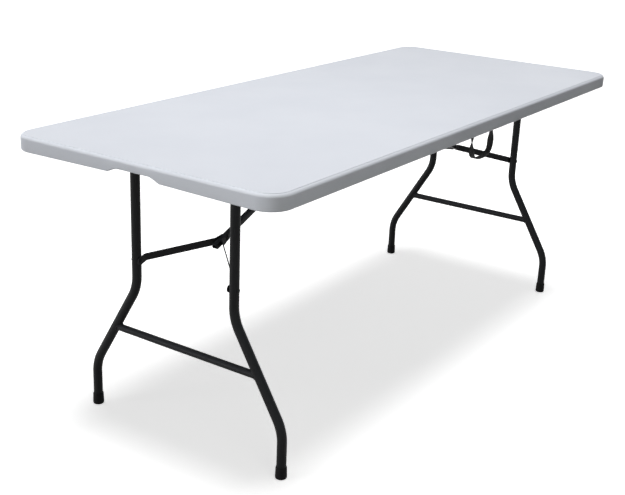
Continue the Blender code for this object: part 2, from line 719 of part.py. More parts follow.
def strap_stations():
    """(point, width direction) at even steps along the strap."""
    line = strap_line()
    run = [0.0]
    for a, b in zip(line, line[1:]):
        run.append(run[-1] + (b - a).length)
    free = run[-1] - 2 * STRAP_TAIL
    stations = []
    for step in range(STRAP_STEPS + 1):
        distance = run[-1] * step / STRAP_STEPS
        after = next((i for i, reach in enumerate(run) if i and reach >= distance), len(run) - 1)
        part = (distance - run[after - 1]) / (run[after] - run[after - 1])
        point = line[after - 1].lerp(line[after], min(part, 1.0))
        share = min(max((distance - STRAP_TAIL) / free, 0.0), 1.0)
        # The webbing turns a quarter turn next to the skirt on each side, half a turn in all.
        ease = min(share, 1 - share) / STRAP_TWIST_PART
        ease = min(ease, 1.0) ** 2 * (3 - 2 * min(ease, 1.0))
        turn = math.pi / 2 * (ease if share < 0.5 else 2 - ease)
        stations.append((point, Vector((math.cos(turn), math.sin(turn), 0.0))))
    return stations


def strap_mesh():
    """The webbing loop, with a hole in each end for its screw."""
    stations = strap_stations()
    rings = []
    for i, (point, level) in enumerate(stations):
        before = stations[max(i - 1, 0)][0]
        after = stations[min(i + 1, len(stations) - 1)][0]
        way = (after - before).normalized()
        wide = (level - way * level.dot(way)).normalized() * STRAP_WIDTH / 2
        thick = way.cross(wide).normalized() * STRAP_THICKNESS / 2
        rings.append([point + wide * across + thick * rise for across, rise in SQUARE])
    depth = Y * 4 * STRAP_THICKNESS
    holes = []
    for x, z in strap_screw_places():
        centre = Vector((x, strap_wall_y(), z))
        holes.append(bar_cutter(centre - depth, centre + depth, SCREW_DIAMETER / 2 + GAP))
    return carve(loft("carry_strap", rings), holes)


def make_strap():
    """The carrying strap and its two screws, at the front."""
    place("carry_strap", strap_mesh(), BLACK_WEBBING)
    seat = strap_wall_y() + GAP + STRAP_THICKNESS
    screw = screw_mesh(STRAP_THICKNESS, -Y)
    for end, (x, z) in zip(("left", "right"), strap_screw_places()):
        place(f"strap_screw_{end}", screw, ZINC_STEEL, None, (x, seat, z))


def sides_of(end):
    """Front and rear names with their side of Y, in the frame of one end."""
    if end == "right":
        return FRONT, REAR
    return (REAR[0], FRONT[1]), (FRONT[0], REAR[1])


def main():
    """Clears the scene and builds the table."""
    for obj in list(bpy.data.objects):
        bpy.data.objects.remove(obj)
    make_tabletop()
    make_strap()
    for end, turn in ENDS:
        frame = pivot(f"{end}_end", (0.0, 0.0, 0.0), None, turn)
        make_leg_frame(end, frame)
        make_struts(end, frame)
        make_arm(end, frame)
        make_brackets(end, frame)
    print(f"strut {STRUT_LENGTH:.4f} m, arm {ARM_LENGTH:.4f} m, arm pivot at x {ARM_PIVOT_X:.4f} m")


main()
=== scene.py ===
"""Folding banquet table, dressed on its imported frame.

Metres, +Z up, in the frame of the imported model: the origin is on the floor under the middle of the
top, X runs along the length and Y across the width. Front is -Y, the side with the carrying strap.
Both leg frames are one design: each piece is modelled at the right end (+X) and copied half a turn
round to the left end.
"""

import sys

import json
import logging
import math
from collections.abc import Callable, Iterator, Sequence
from contextlib import contextmanager
from dataclasses import dataclass, field
from enum import Enum
from typing import Any, Optional

import bmesh
import bpy
from mathutils import Matrix, Vector

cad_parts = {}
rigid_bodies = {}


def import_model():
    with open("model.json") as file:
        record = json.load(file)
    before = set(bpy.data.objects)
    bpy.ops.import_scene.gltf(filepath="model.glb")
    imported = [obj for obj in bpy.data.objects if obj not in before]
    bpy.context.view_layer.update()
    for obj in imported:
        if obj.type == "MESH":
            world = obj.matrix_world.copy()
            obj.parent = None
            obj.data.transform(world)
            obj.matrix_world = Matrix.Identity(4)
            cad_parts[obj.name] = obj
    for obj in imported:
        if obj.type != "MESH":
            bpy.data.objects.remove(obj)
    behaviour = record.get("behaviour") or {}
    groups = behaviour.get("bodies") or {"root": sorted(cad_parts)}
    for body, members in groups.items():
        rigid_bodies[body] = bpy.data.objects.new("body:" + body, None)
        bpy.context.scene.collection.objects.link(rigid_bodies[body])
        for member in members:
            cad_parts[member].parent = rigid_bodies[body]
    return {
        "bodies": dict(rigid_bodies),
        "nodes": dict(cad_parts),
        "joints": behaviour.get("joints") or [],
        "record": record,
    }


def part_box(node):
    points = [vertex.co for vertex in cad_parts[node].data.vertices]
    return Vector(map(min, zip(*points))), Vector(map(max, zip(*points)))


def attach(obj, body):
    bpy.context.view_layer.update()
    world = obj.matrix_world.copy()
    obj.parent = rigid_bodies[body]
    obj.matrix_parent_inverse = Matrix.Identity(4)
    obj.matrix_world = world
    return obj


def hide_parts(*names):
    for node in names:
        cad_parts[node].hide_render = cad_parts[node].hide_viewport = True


LOG = logging.getLogger("banquet_table")

Point = tuple[float, float, float]
Colour = tuple[float, float, float]
Profile = Sequence[tuple[float, float]]
Piece = bpy.types.Object
Station = tuple[Vector, Vector, Vector]

TINY = 1e-5
DOUBLE = 1e-6

# Limits for a face's normal along an axis
STRAIGHT = 0.99
SQUARE = 0.01
LEAN_LEAST = 0.05
LEAN_MOST = 0.95


class Side(Enum):
    """The two long sides, with their sign along Y."""

    FRONT = -1
    REAR = 1

    @property
    def label(self) -> str:
        """The side's name as the nodes have it."""
        return self.name.lower()


class Slot(Enum):
    """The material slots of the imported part."""

    RESIN = "white_plastic"
    PAINT = "black_paint"
    RUBBER = "black_rubber"
    ZINC = "zinc_steel"
    WEBBING = "black_webbing"


class Pick(Enum):
    """What a selection in edit mode takes."""

    POINTS = "VERT"
    EDGES = "EDGE"
    FACES = "FACE"


# Modelling bench


def deselect_all() -> None:
    """Leaves edit mode and lets go of every object."""
    if bpy.context.object and bpy.context.object.mode != "OBJECT":
        bpy.ops.object.mode_set(mode="OBJECT")
    bpy.ops.object.select_all(action="DESELECT")


def hold(piece: Piece) -> None:
    """Makes one object the selected and active one.

    Args:
        piece: The object.
    """
    deselect_all()
    piece.select_set(True)
    bpy.context.view_layer.objects.active = piece


@contextmanager
def editing(piece: Piece) -> Iterator[None]:
    """Opens a piece in edit mode with nothing selected, and leaves edit mode afterwards.

    Args:
        piece: The piece.

    Yields:
        Nothing, while the piece is open.
    """
    hold(piece)
    bpy.ops.object.mode_set(mode="EDIT")
    bpy.ops.mesh.select_all(action="DESELECT")
    yield
    bpy.ops.object.mode_set(mode="OBJECT")


def select_where(piece: Piece, pick: Pick, test: Callable[[Any], bool]) -> int:
    """Selects the points, edges or faces of a piece in edit mode that pass a test.

    Args:
        piece: The piece that is open in edit mode.
        pick: What to select.
        test: Says of a point, edge or face whether it is taken.

    Returns:
        How many were taken.
    """
    bpy.ops.mesh.select_mode(type=pick.value)
    bpy.ops.mesh.select_all(action="DESELECT")
    mesh = bmesh.from_edit_mesh(piece.data)
    items = {Pick.POINTS: mesh.verts, Pick.EDGES: mesh.edges, Pick.FACES: mesh.faces}[pick]
    chosen = [item for item in items if test(item)]
    for item in chosen:
        item.select_set(True)
    mesh.select_flush_mode()
    bmesh.update_edit_mesh(piece.data)
    return len(chosen)


def middle(item: Any) -> Vector:
    """The middle of an edge or a face.

    Args:
        item: An edge or a face of a piece in edit mode.

    Returns:
        The point halfway along or in the middle.
    """
    if isinstance(item, bmesh.types.BMFace):
        return item.calc_center_median()
    return (item.verts[0].co + item.verts[1].co) / 2


def joins_faces(edge: Any, first: Callable[[Any], bool], second: Callable[[Any], bool]) -> bool:
    """True if an edge has a face that passes the first test and another that passes the second.

    Args:
        edge: The edge.
        first: Test of one of its faces.
        second: Test of its other face.

    Returns:
        True if its two faces pass, in either order.
    """
    if len(edge.link_faces) != 2:
        return False
    one, other = edge.link_faces
    return (first(one) and second(other)) or (first(other) and second(one))


def faces_up(face: Any) -> bool:
    """True for a level face that looks up."""
    return face.normal.z > STRAIGHT


def faces_down(face: Any) -> bool:
    """True for a level face that looks down."""
    return face.normal.z < -STRAIGHT


def leans(face: Any) -> bool:
    """True for a face that leans between level and upright, and looks up."""
    return LEAN_LEAST < face.normal.z < LEAN_MOST


def runs_along(edge: Any, axis: int) -> bool:
    """True for an edge that lies along an axis: 0 for X, 1 for Y, 2 for Z."""
    way = edge.verts[1].co - edge.verts[0].co
    return abs(way[axis]) > way.length - TINY


def is_at(edge: Any, *place: Optional[float]) -> bool:
    """True if the middle of an edge has these coordinates, where None stands for any."""
    return all(goal is None or abs(value - goal) < TINY for value, goal in zip(middle(edge), place))


def edge_at(axis: int, *place: Optional[float]) -> Callable[[Any], bool]:
    """A test for edges that lie along an axis with their middles at a place."""
    return lambda edge: runs_along(edge, axis) and is_at(edge, *place)


def upright(face: Any) -> bool:
    """True for a face that stands straight up."""
    return abs(face.normal.z) < SQUARE


def looks_across(face: Any) -> bool:
    """True for a face that looks straight to the front or the rear."""
    return abs(face.normal.y) > STRAIGHT


def looks_along(face: Any) -> bool:
    """True for a face that looks neither to the front nor to the rear."""
    return abs(face.normal.y) < SQUARE


def round_where(piece: Piece, test: Callable[[Any], bool], radius: float, facets: int) -> None:
    """Rounds the edges of a piece in edit mode that pass a test.

    Args:
        piece: The piece that is open in edit mode.
        test: Says of an edge whether it is rounded.
        radius: Radius of the round.
        facets: Number of facets across it.
    """
    select_where(piece, Pick.EDGES, test)
    bpy.ops.mesh.bevel(
        offset_type="OFFSET",
        offset=radius,
        segments=facets,
        profile=0.5,
        affect="EDGES",
        clamp_overlap=False,
    )


def extrude_selected(shift: Point) -> None:
    """Extrudes what is selected by a shift."""
    bpy.ops.mesh.extrude_region_move(TRANSFORM_OT_translate={"value": shift})


def add_block(name: str, low: Point, high: Point) -> Piece:
    """Adds a block between two corners, as the start of a piece.

    Args:
        name: The piece's name.
        low: Lowest corner.
        high: Highest corner.

    Returns:
        The block, with its place in its mesh.
    """
    deselect_all()
    centre = (Vector(low) + Vector(high)) / 2
    size = Vector(high) - Vector(low)
    bpy.ops.mesh.primitive_cube_add(size=1.0, location=centre, scale=size)
    return settle(name)


def settle(name: str) -> Piece:
    """Names the active object and puts its place into its mesh.

    Args:
        name: The piece's name.

    Returns:
        The piece, at the origin.
    """
    piece = bpy.context.active_object
    piece.name = name
    piece.data.name = name
    bpy.ops.object.transform_apply(location=True, rotation=True, scale=True)
    return piece


def turned_name(name: str) -> str:
    """The name at the place that half a turn of the table takes a named place to."""
    swaps = {"left": "right", "right": "left", "front": "rear", "rear": "front"}
    return "_".join(swaps.get(word, word) for word in name.split("_"))


def turn_piece(name: str, profile: Profile, sides: int) -> Piece:
    """Turns a solid about Z by extruding a disc along its profile.

    Args:
        name: The piece's name.
        profile: (radius, height) from one end to the other.
        sides: Facets round the axis.

    Returns:
        The closed solid.
    """
    deselect_all()
    radius, height = profile[0]
    bpy.ops.mesh.primitive_circle_add(
        vertices=sides, radius=radius, fill_type="NGON", location=(0.0, 0.0, height)
    )
    piece = settle(name)
    with editing(piece):
        bpy.ops.mesh.select_all(action="SELECT")
        for next_radius, next_height in profile[1:]:
            extrude_selected((0.0, 0.0, next_height - height))
            share = next_radius / radius
            bpy.ops.transform.resize(value=(share, share, 1.0), center_override=(0.0, 0.0, next_height))
            radius, height = next_radius, next_height
    return piece


def move_piece(piece: Piece, shift: Point, axis: str = "Z", angle: float = 0.0) -> Piece:
    """Turns a piece about an axis through the origin, then moves it, and keeps that in its mesh.

    Args:
        piece: The piece.
        shift: Where its origin goes.
        axis: X, Y or Z.
        angle: Turn by the right hand, in radians.

    Returns:
        The same piece.
    """
    hold(piece)
    piece.matrix_world = Matrix.Translation(shift) @ Matrix.Rotation(angle, 4, axis)
    bpy.ops.object.transform_apply(location=True, rotation=True, scale=True)
    return piece


def copy_piece(piece: Piece, name: str) -> Piece:
    """A copy of a piece with a mesh of its own.

    Args:
        piece: The piece.
        name: The copy's name.

    Returns:
        The copy.
    """
    hold(piece)
    bpy.ops.object.duplicate(linked=False)
    copy = bpy.context.active_object
    copy.name = name
    copy.data.name = name
    return copy


def half_turn_copy(piece: Piece, name: str, about_x: float = 0.0) -> Piece:
    """A copy of a piece turned half a turn about the upright line through (about_x, 0).

    Args:
        piece: The piece.
        name: The copy's name.
        about_x: Place of the upright line along the table.

    Returns:
        The copy, with its place in its mesh.
    """
    copy = copy_piece(piece, name)
    shift = Matrix.Translation((about_x, 0.0, 0.0))
    copy.matrix_world = shift @ Matrix.Rotation(math.pi, 4, "Z") @ shift.inverted()
    bpy.ops.object.transform_apply(location=True, rotation=True, scale=True)
    return copy


def apply_modifier(piece: Piece, kind: str, **settings: Any) -> None:
    """Adds a modifier with these settings and applies it.

    Args:
        piece: The piece.
        kind: The modifier's type.
        settings: The modifier's properties.
    """
    hold(piece)
    added = piece.modifiers.new(kind.lower(), kind)
    for key, value in settings.items():
        setattr(added, key, value)
    bpy.ops.object.modifier_apply(modifier=added.name)


def ease_edges(piece: Piece, width: float, crisp: float) -> None:
    """Takes the sharpness off the edges of a piece.

    Args:
        piece: The piece.
        width: Width of the ease.
        crisp: Edges sharper than this many degrees are eased.
    """
    limit = math.radians(crisp)
    apply_modifier(piece, "BEVEL", width=width, segments=2, limit_method="ANGLE", angle_limit=limit)


def close_up(piece: Piece, crisp: float = 35.0) -> Piece:
    """Merges doubles, turns faces outwards and smooths all but the crisp edges.

    Args:
        piece: The piece.
        crisp: Edges sharper than this many degrees stay crisp.

    Returns:
        The same piece.
    """
    with editing(piece):
        bpy.ops.mesh.select_all(action="SELECT")
        bpy.ops.mesh.remove_doubles(threshold=DOUBLE)
        bpy.ops.mesh.normals_make_consistent(inside=False)
    hold(piece)
    bpy.ops.object.shade_smooth_by_angle(angle=math.radians(crisp))
    apply_modifier(piece, "WEIGHTED_NORMAL", keep_sharp=True)
    return piece


def cut_away(piece: Piece, tool: Piece) -> None:
    """Cuts a tool's shape out of a piece and throws the tool away."""
    apply_modifier(piece, "BOOLEAN", operation="DIFFERENCE", solver="EXACT", object=tool)
    bpy.data.objects.remove(tool)


def drill(piece: Piece, centre: Point, axis: str, radius: float, reach: float, sides: int = 24) -> None:
    """Drills a round hole.

    Args:
        piece: The piece.
        centre: A point on the hole's axis.
        axis: Y or Z, the direction of the hole.
        radius: Radius of the hole.
        reach: How far the drill goes to each side of the centre.
        sides: Facets round the hole.
    """
    bit = turn_piece("drill_bit", [(radius, -reach), (radius, reach)], sides)
    move_piece(bit, centre, "X", math.pi / 2 if axis == "Y" else 0.0)
    cut_away(piece, bit)


# Finishes


# Sockets of the Mix node that carry colours
MIX_FIRST = 6
MIX_SECOND = 7
MIX_RESULT = 2


class NodeSheet:
    """Places and links the nodes of one material."""

    def __init__(self, name: str) -> None:
        """Starts a material with a Principled surface.

        Args:
            name: The material's name.
        """
        self.material = bpy.data.materials.new(name)
        self.material.use_nodes = True
        self.tree = self.material.node_tree
        self.tree.nodes.clear()
        self.surface = self.add("ShaderNodeBsdfPrincipled")
        output = self.add("ShaderNodeOutputMaterial")
        self.link(self.surface.outputs["BSDF"], output.inputs["Surface"])

    def add(self, kind: str, **settings: Any) -> bpy.types.Node:
        """Adds a node and sets its properties.

        Args:
            kind: The node's type.
            settings: The node's properties.

        Returns:
            The node.
        """
        node = self.tree.nodes.new(kind)
        for key, value in settings.items():
            setattr(node, key, value)
        return node

    def link(self, source: Any, target: Any) -> None:
        """Links an output to an input."""
        self.tree.links.new(source, target)

    def set_surface(self, **values: Any) -> None:
        """Sets sockets of the Principled surface, with underscores for the spaces in their names."""
        for key, value in values.items():
            self.surface.inputs[key.replace("_", " ")].default_value = value

    def coordinates(self, scale: Point = (1.0, 1.0, 1.0), source: str = "Object") -> Any:
        """Coordinates of the surface, stretched along each axis.

        Args:
            scale: Stretch along each axis.
            source: Object, or UV for the piece's own map.

        Returns:
            The vector socket.
        """
        texture = self.add("ShaderNodeTexCoord")
        mapping = self.add("ShaderNodeMapping")
        mapping.inputs["Scale"].default_value = scale
        self.link(texture.outputs[source], mapping.inputs["Vector"])
        return mapping.outputs["Vector"]

    def faces_up(self) -> Any:
        """How far the surface faces up on the piece as it stands, from -1 to 1.

        Returns:
            The number socket.
        """
        texture = self.add("ShaderNodeTexCoord")
        parts = self.add("ShaderNodeSeparateXYZ")
        self.link(texture.outputs["Normal"], parts.inputs["Vector"])
        return parts.outputs["Z"]

    def noise(self, vector: Any, scale: float, detail: float = 2.0, roughness: float = 0.5) -> Any:
        """Cloudy noise of about so many spots per metre, from 0 to 1.

        Args:
            vector: Coordinates of the surface.
            scale: Spots per metre, about.
            detail: Number of finer layers.
            roughness: Share of the finer layers.

        Returns:
            The number socket.
        """
        node = self.add("ShaderNodeTexNoise")
        node.inputs["Scale"].default_value = scale
        node.inputs["Detail"].default_value = detail
        node.inputs["Roughness"].default_value = roughness
        self.link(vector, node.inputs["Vector"])
        return node.outputs["Fac"]

    def cells(self, vector: Any, scale: float) -> Any:
        """Distance to the nearest of scattered pips, from 0 to 1.

        Args:
            vector: Coordinates of the surface.
            scale: Pips per metre, about.

        Returns:
            The number socket.
        """
        node = self.add("ShaderNodeTexVoronoi", feature="F1")
        node.inputs["Scale"].default_value = scale
        self.link(vector, node.inputs["Vector"])
        return node.outputs["Distance"]

    def ramp(self, factor: Any, low: Colour, high: Colour, start: float = 0.3, end: float = 0.7) -> Any:
        """A colour that goes from low to high as factor goes from start to end.

        Args:
            factor: Number socket.
            low: Colour up to the start.
            high: Colour from the end on.
            start: Factor at which the change starts.
            end: Factor at which it ends.

        Returns:
            The colour socket.
        """
        node = self.add("ShaderNodeValToRGB")
        stops = node.color_ramp.elements
        stops[0].position, stops[1].position = start, end
        stops[0].color, stops[1].color = (*low, 1.0), (*high, 1.0)
        self.link(factor, node.inputs["Fac"])
        return node.outputs["Color"]

    def span(self, factor: Any, low: float, high: float, start: float = 0.3, end: float = 0.7) -> Any:
        """A number that goes from low to high as factor goes from start to end.

        Args:
            factor: Number socket.
            low: Number up to the start.
            high: Number from the end on.
            start: Factor at which the change starts.
            end: Factor at which it ends.

        Returns:
            The number socket.
        """
        node = self.add("ShaderNodeMapRange")
        for key, value in (("From Min", start), ("From Max", end), ("To Min", low), ("To Max", high)):
            node.inputs[key].default_value = value
        self.link(factor, node.inputs["Value"])
        return node.outputs["Result"]

    def sums(self, kind: str, first: Any, second: Any) -> Any:
        """Puts two numbers together.

        Args:
            kind: Operation of the Math node.
            first: Number socket.
            second: Number socket or plain number.

        Returns:
            The number socket.
        """
        node = self.add("ShaderNodeMath", operation=kind)
        self.link(first, node.inputs[0])
        if isinstance(second, (int, float)):
            node.inputs[1].default_value = second
        else:
            self.link(second, node.inputs[1])
        return node.outputs["Value"]

    def weigh(self, first: Any, share: float, second: Any, other_share: float) -> Any:
        """A share of one number added to a share of another."""
        one = self.sums("MULTIPLY", first, share)
        return self.sums("ADD", one, self.sums("MULTIPLY", second, other_share))

    def blend(self, factor: Any, first: Any, second: Any) -> Any:
        """Mixes two colours.

        Args:
            factor: Number socket, the share of the second colour.
            first: Colour socket.
            second: Colour socket or plain colour.

        Returns:
            The colour socket.
        """
        node = self.add("ShaderNodeMix", data_type="RGBA")
        self.link(factor, node.inputs[0])
        self.link(first, node.inputs[MIX_FIRST])
        if isinstance(second, tuple):
            node.inputs[MIX_SECOND].default_value = (*second, 1.0)
        else:
            self.link(second, node.inputs[MIX_SECOND])
        return node.outputs[MIX_RESULT]

    def bump(self, height: Any, depth: float, strength: float = 1.0, under: Any = None) -> Any:
        """A bumped normal.

        Args:
            height: Height socket, from 0 to 1.
            depth: What a height of 1 stands for, in metres.
            strength: Share of the effect.
            under: Normal of a bump below this one.

        Returns:
            The normal socket.
        """
        node = self.add("ShaderNodeBump")
        node.inputs["Distance"].default_value = depth
        node.inputs["Strength"].default_value = strength
        self.link(height, node.inputs["Height"])
        if under:
            self.link(under, node.inputs["Normal"])
        return node.outputs["Normal"]

    def finish(self, colour: Any, roughness: Any, normal: Any) -> bpy.types.Material:
        """Links colour, roughness and normal to the surface and hands over the material.

        Args:
            colour: Colour socket.
            roughness: Number socket.
            normal: Normal socket.

        Returns:
            The material.
        """
        self.link(colour, self.surface.inputs["Base Color"])
        self.link(roughness, self.surface.inputs["Roughness"])
        self.link(normal, self.surface.inputs["Normal"])
        return self.material


@dataclass(frozen=True)
class WhiteResin:
    """Blow-moulded white resin: a fine pebbled grain, faint clouding and light rub marks."""

    slot: Slot = Slot.RESIN
    clean: Colour = (0.768, 0.797, 0.860)
    clouded: Colour = (0.754, 0.783, 0.846)
    rubbed: Colour = (0.704, 0.732, 0.794)
    cloud_pitch: float = 5.0
    mark_pitch: float = 3.0
    mark_stretch: Point = (3.0, 34.0, 12.0)
    grain_pitch: float = 620.0
    pip_pitch: float = 434.0
    grain_depth: float = 0.00016
    dull: float = 0.52
    shiny: float = 0.40
    reflection: float = 0.10

    def material(self) -> bpy.types.Material:
        """Makes the material.

        Returns:
            The material.
        """
        sheet = NodeSheet(self.slot.value)
        place = sheet.coordinates()
        clouds = sheet.noise(place, self.cloud_pitch, detail=3.0, roughness=0.55)
        tone = sheet.ramp(clouds, self.clouded, self.clean, start=0.32, end=0.62)
        streaks = sheet.coordinates(self.mark_stretch)
        marks = sheet.noise(streaks, self.mark_pitch, detail=6.0, roughness=0.62)
        worn = sheet.span(marks, 0.0, 0.22, start=0.64, end=0.80)
        colour = sheet.blend(worn, tone, self.rubbed)
        grain = sheet.noise(place, self.grain_pitch, detail=3.0, roughness=0.6)
        pips = sheet.cells(place, self.pip_pitch)
        height = sheet.sums("ADD", grain, sheet.sums("MULTIPLY", pips, 0.5))
        normal = sheet.bump(height, self.grain_depth, strength=0.45)
        roughness = sheet.span(clouds, self.dull, self.shiny)
        sheet.set_surface(Specular_IOR_Level=self.reflection)
        return sheet.finish(colour, roughness, normal)


@dataclass(frozen=True)
class BlackPaint:
    """Baked black paint on steel tube: a slight orange peel, dusty rubs, and painted light that makes
    its upper sides paler.
    """

    slot: Slot = Slot.PAINT
    deep: Colour = (0.0105, 0.0108, 0.0115)
    pale: Colour = (0.0160, 0.0165, 0.0178)
    dust: Colour = (0.040, 0.041, 0.043)
    # Painted light: the paler tone of the upper sides, standing in for light falling on them from above.
    settled: Colour = (0.036, 0.038, 0.043)
    cloud_pitch: float = 26.0
    rub_pitch: float = 90.0
    peel_pitch: float = 420.0
    peel_depth: float = 0.00010
    shiny: float = 0.44
    dull: float = 0.56
    reflection: float = 0.08

    def material(self) -> bpy.types.Material:
        """Makes the material.

        Returns:
            The material.
        """
        sheet = NodeSheet(self.slot.value)
        place = sheet.coordinates()
        clouds = sheet.noise(place, self.cloud_pitch, detail=3.0)
        tone = sheet.ramp(clouds, self.deep, self.pale)
        rubs = sheet.noise(place, self.rub_pitch, detail=5.0, roughness=0.7)
        dusty = sheet.span(rubs, 0.0, 0.35, start=0.66, end=0.82)
        worn = sheet.blend(dusty, tone, self.dust)
        # Painted light: faces that look up are blended towards the paler tone, as if lit from above.
        painted_top_share = sheet.span(sheet.faces_up(), 0.0, 1.0, start=0.0, end=0.6)
        colour = sheet.blend(painted_top_share, worn, self.settled)
        peel = sheet.noise(place, self.peel_pitch)
        normal = sheet.bump(peel, self.peel_depth, strength=0.5)
        roughness = sheet.span(clouds, self.shiny, self.dull)
        sheet.set_surface(Specular_IOR_Level=self.reflection)
        return sheet.finish(colour, roughness, normal)


@dataclass(frozen=True)
class BlackRubber:
    """Moulded black caps, dull, with scuffed soles."""

    slot: Slot = Slot.RUBBER
    deep: Colour = (0.0070, 0.0070, 0.0075)
    scuffed: Colour = (0.0230, 0.0230, 0.0240)
    scuff_pitch: float = 160.0
    grain_pitch: float = 1300.0
    grain_depth: float = 0.00012
    smooth: float = 0.58
    dull: float = 0.74
    reflection: float = 0.08

    def material(self) -> bpy.types.Material:
        """Makes the material.

        Returns:
            The material.
        """
        sheet = NodeSheet(self.slot.value)
        place = sheet.coordinates()
        scuffs = sheet.noise(place, self.scuff_pitch, detail=5.0, roughness=0.65)
        colour = sheet.ramp(scuffs, self.deep, self.scuffed, start=0.52, end=0.80)
        grain = sheet.noise(place, self.grain_pitch)
        normal = sheet.bump(grain, self.grain_depth, strength=0.5)
        roughness = sheet.span(scuffs, self.smooth, self.dull)
        sheet.set_surface(Specular_IOR_Level=self.reflection)
        return sheet.finish(colour, roughness, normal)


@dataclass(frozen=True)
class ZincSteel:
    """Zinc-plated steel: bright, slightly blue, with spangle and fine drawing lines."""

    slot: Slot = Slot.ZINC
    bright: Colour = (0.66, 0.67, 0.70)
    dull: Colour = (0.47, 0.48, 0.50)
    spangle_pitch: float = 260.0
    cloud_pitch: float = 70.0
    line_pitch: float = 300.0
    line_stretch: Point = (1.0, 1.0, 14.0)
    line_depth: float = 0.00004
    polished: float = 0.26
    drawn: float = 0.42

    def material(self) -> bpy.types.Material:
        """Makes the material.

        Returns:
            The material.
        """
        sheet = NodeSheet(self.slot.value)
        place = sheet.coordinates()
        spangle = sheet.cells(place, self.spangle_pitch)
        clouds = sheet.noise(place, self.cloud_pitch, detail=4.0)
        both = sheet.weigh(spangle, 0.5, clouds, 0.6)
        colour = sheet.ramp(both, self.dull, self.bright, start=0.25, end=0.75)
        lines = sheet.noise(sheet.coordinates(self.line_stretch), self.line_pitch)
        normal = sheet.bump(lines, self.line_depth, strength=0.4)
        roughness = sheet.span(clouds, self.polished, self.drawn)
        sheet.set_surface(Metallic=1.0)
        return sheet.finish(colour, roughness, normal)


@dataclass(frozen=True)
class BlackWebbing:
    """Black woven webbing: ribs along its length, crossed by fine weft threads."""

    slot: Slot = Slot.WEBBING
    thread: Colour = (0.0165, 0.0165, 0.0178)
    shade: Colour = (0.0050, 0.0050, 0.0055)
    ribs: float = 9.0
    wefts: float = 190.0
    fuzz_pitch: float = 1800.0
    weave_depth: float = 0.00035
    reflection: float = 0.3
    smooth: float = 0.72
    dull: float = 0.88
    sheen: float = 0.15
    sheen_spread: float = 0.4

    def material(self) -> bpy.types.Material:
        """Makes the material, on the strap's own UV map: U along the strap and V across it.

        Returns:
            The material.
        """
        sheet = NodeSheet(self.slot.value)
        turn = 2 * math.pi
        place = sheet.coordinates((turn * self.wefts, turn * self.ribs, 1.0), "UV")
        split = sheet.add("ShaderNodeSeparateXYZ")
        sheet.link(place, split.inputs["Vector"])
        along = sheet.sums("SINE", split.outputs["X"], 0.0)
        across = sheet.sums("SINE", split.outputs["Y"], 0.0)
        crossed = sheet.sums("MULTIPLY", along, across)
        ribbed = sheet.sums("ADD", sheet.sums("MULTIPLY", across, 0.35), crossed)
        height = sheet.span(ribbed, 0.0, 1.0, start=-1.3, end=1.3)
        fuzz = sheet.noise(sheet.coordinates(), self.fuzz_pitch, detail=3.0)
        mixed = sheet.weigh(height, 0.8, fuzz, 0.25)
        colour = sheet.ramp(mixed, self.shade, self.thread, start=0.25, end=0.80)
        normal = sheet.bump(mixed, self.weave_depth, strength=0.7)
        roughness = sheet.span(fuzz, self.smooth, self.dull)
        sheet.set_surface(Specular_IOR_Level=self.reflection)
        sheet.set_surface(Sheen_Weight=self.sheen, Sheen_Roughness=self.sheen_spread)
        return sheet.finish(colour, roughness, normal)


@dataclass
class Workshop:
    """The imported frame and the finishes, and how a finished piece joins them."""

    frame: dict[str, Any]
    materials: dict[Slot, bpy.types.Material] = field(default_factory=dict)

    def stock(self, *finishes: Any) -> None:
        """Makes the material of each finish."""
        for finish in finishes:
            self.materials[finish.slot] = finish.material()

    def dress(self, piece: Piece, slot: Slot) -> None:
        """Gives a piece the material of a slot."""
        piece.data.materials.clear()
        piece.data.materials.append(self.materials[slot])

    def install(self, piece: Piece, body: str, slot: Slot, *nodes: str) -> None:
        """Dresses a finished piece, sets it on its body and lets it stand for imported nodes.

        Args:
            piece: The finished piece.
            body: The body that it moves with.
            slot: The material slot of its finish.
            nodes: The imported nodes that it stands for.
        """
        self.dress(piece, slot)
        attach(piece, body)
        if nodes:
            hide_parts(*nodes)
        faces, shown = len(piece.data.polygons), ", ".join(nodes) or "no node"
        LOG.info("%s: %d faces, rides on %s, stands for %s", piece.name, faces, body, shown)

    def install_pair(self, piece: Piece, body: str, slot: Slot, *nodes: str) -> None:
        """Installs a piece of the right end and its half-turn copy at the left end.

        Args:
            piece: The finished piece of the right end.
            body: The body that it moves with.
            slot: The material slot of its finish.
            nodes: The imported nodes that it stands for.
        """
        copy = half_turn_copy(piece, turned_name(piece.name))
        self.install(piece, body, slot, *nodes)
        self.install(copy, turned_name(body), slot, *map(turned_name, nodes))

    def dress_shown_nodes(self) -> None:
        """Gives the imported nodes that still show, the bushes inside the joints, their zinc plating."""
        for name, piece in self.frame["nodes"].items():
            if not piece.hide_render:
                self.dress(piece, Slot.ZINC)
                LOG.info("%s: packed node, dressed in zinc_steel", name)


# Shared places


@dataclass(frozen=True)
class Levels:
    """Heights and places that several sub-assemblies share."""

    length: float = 1.830
    width: float = 0.762
    height: float = 0.737
    skirt_bottom: float = 0.6985
    skirt_wall: float = 0.012
    underside: float = 0.719
    leg_x: float = 0.748
    pivot_z: float = 0.696


LEVELS = Levels()


# Moulded top


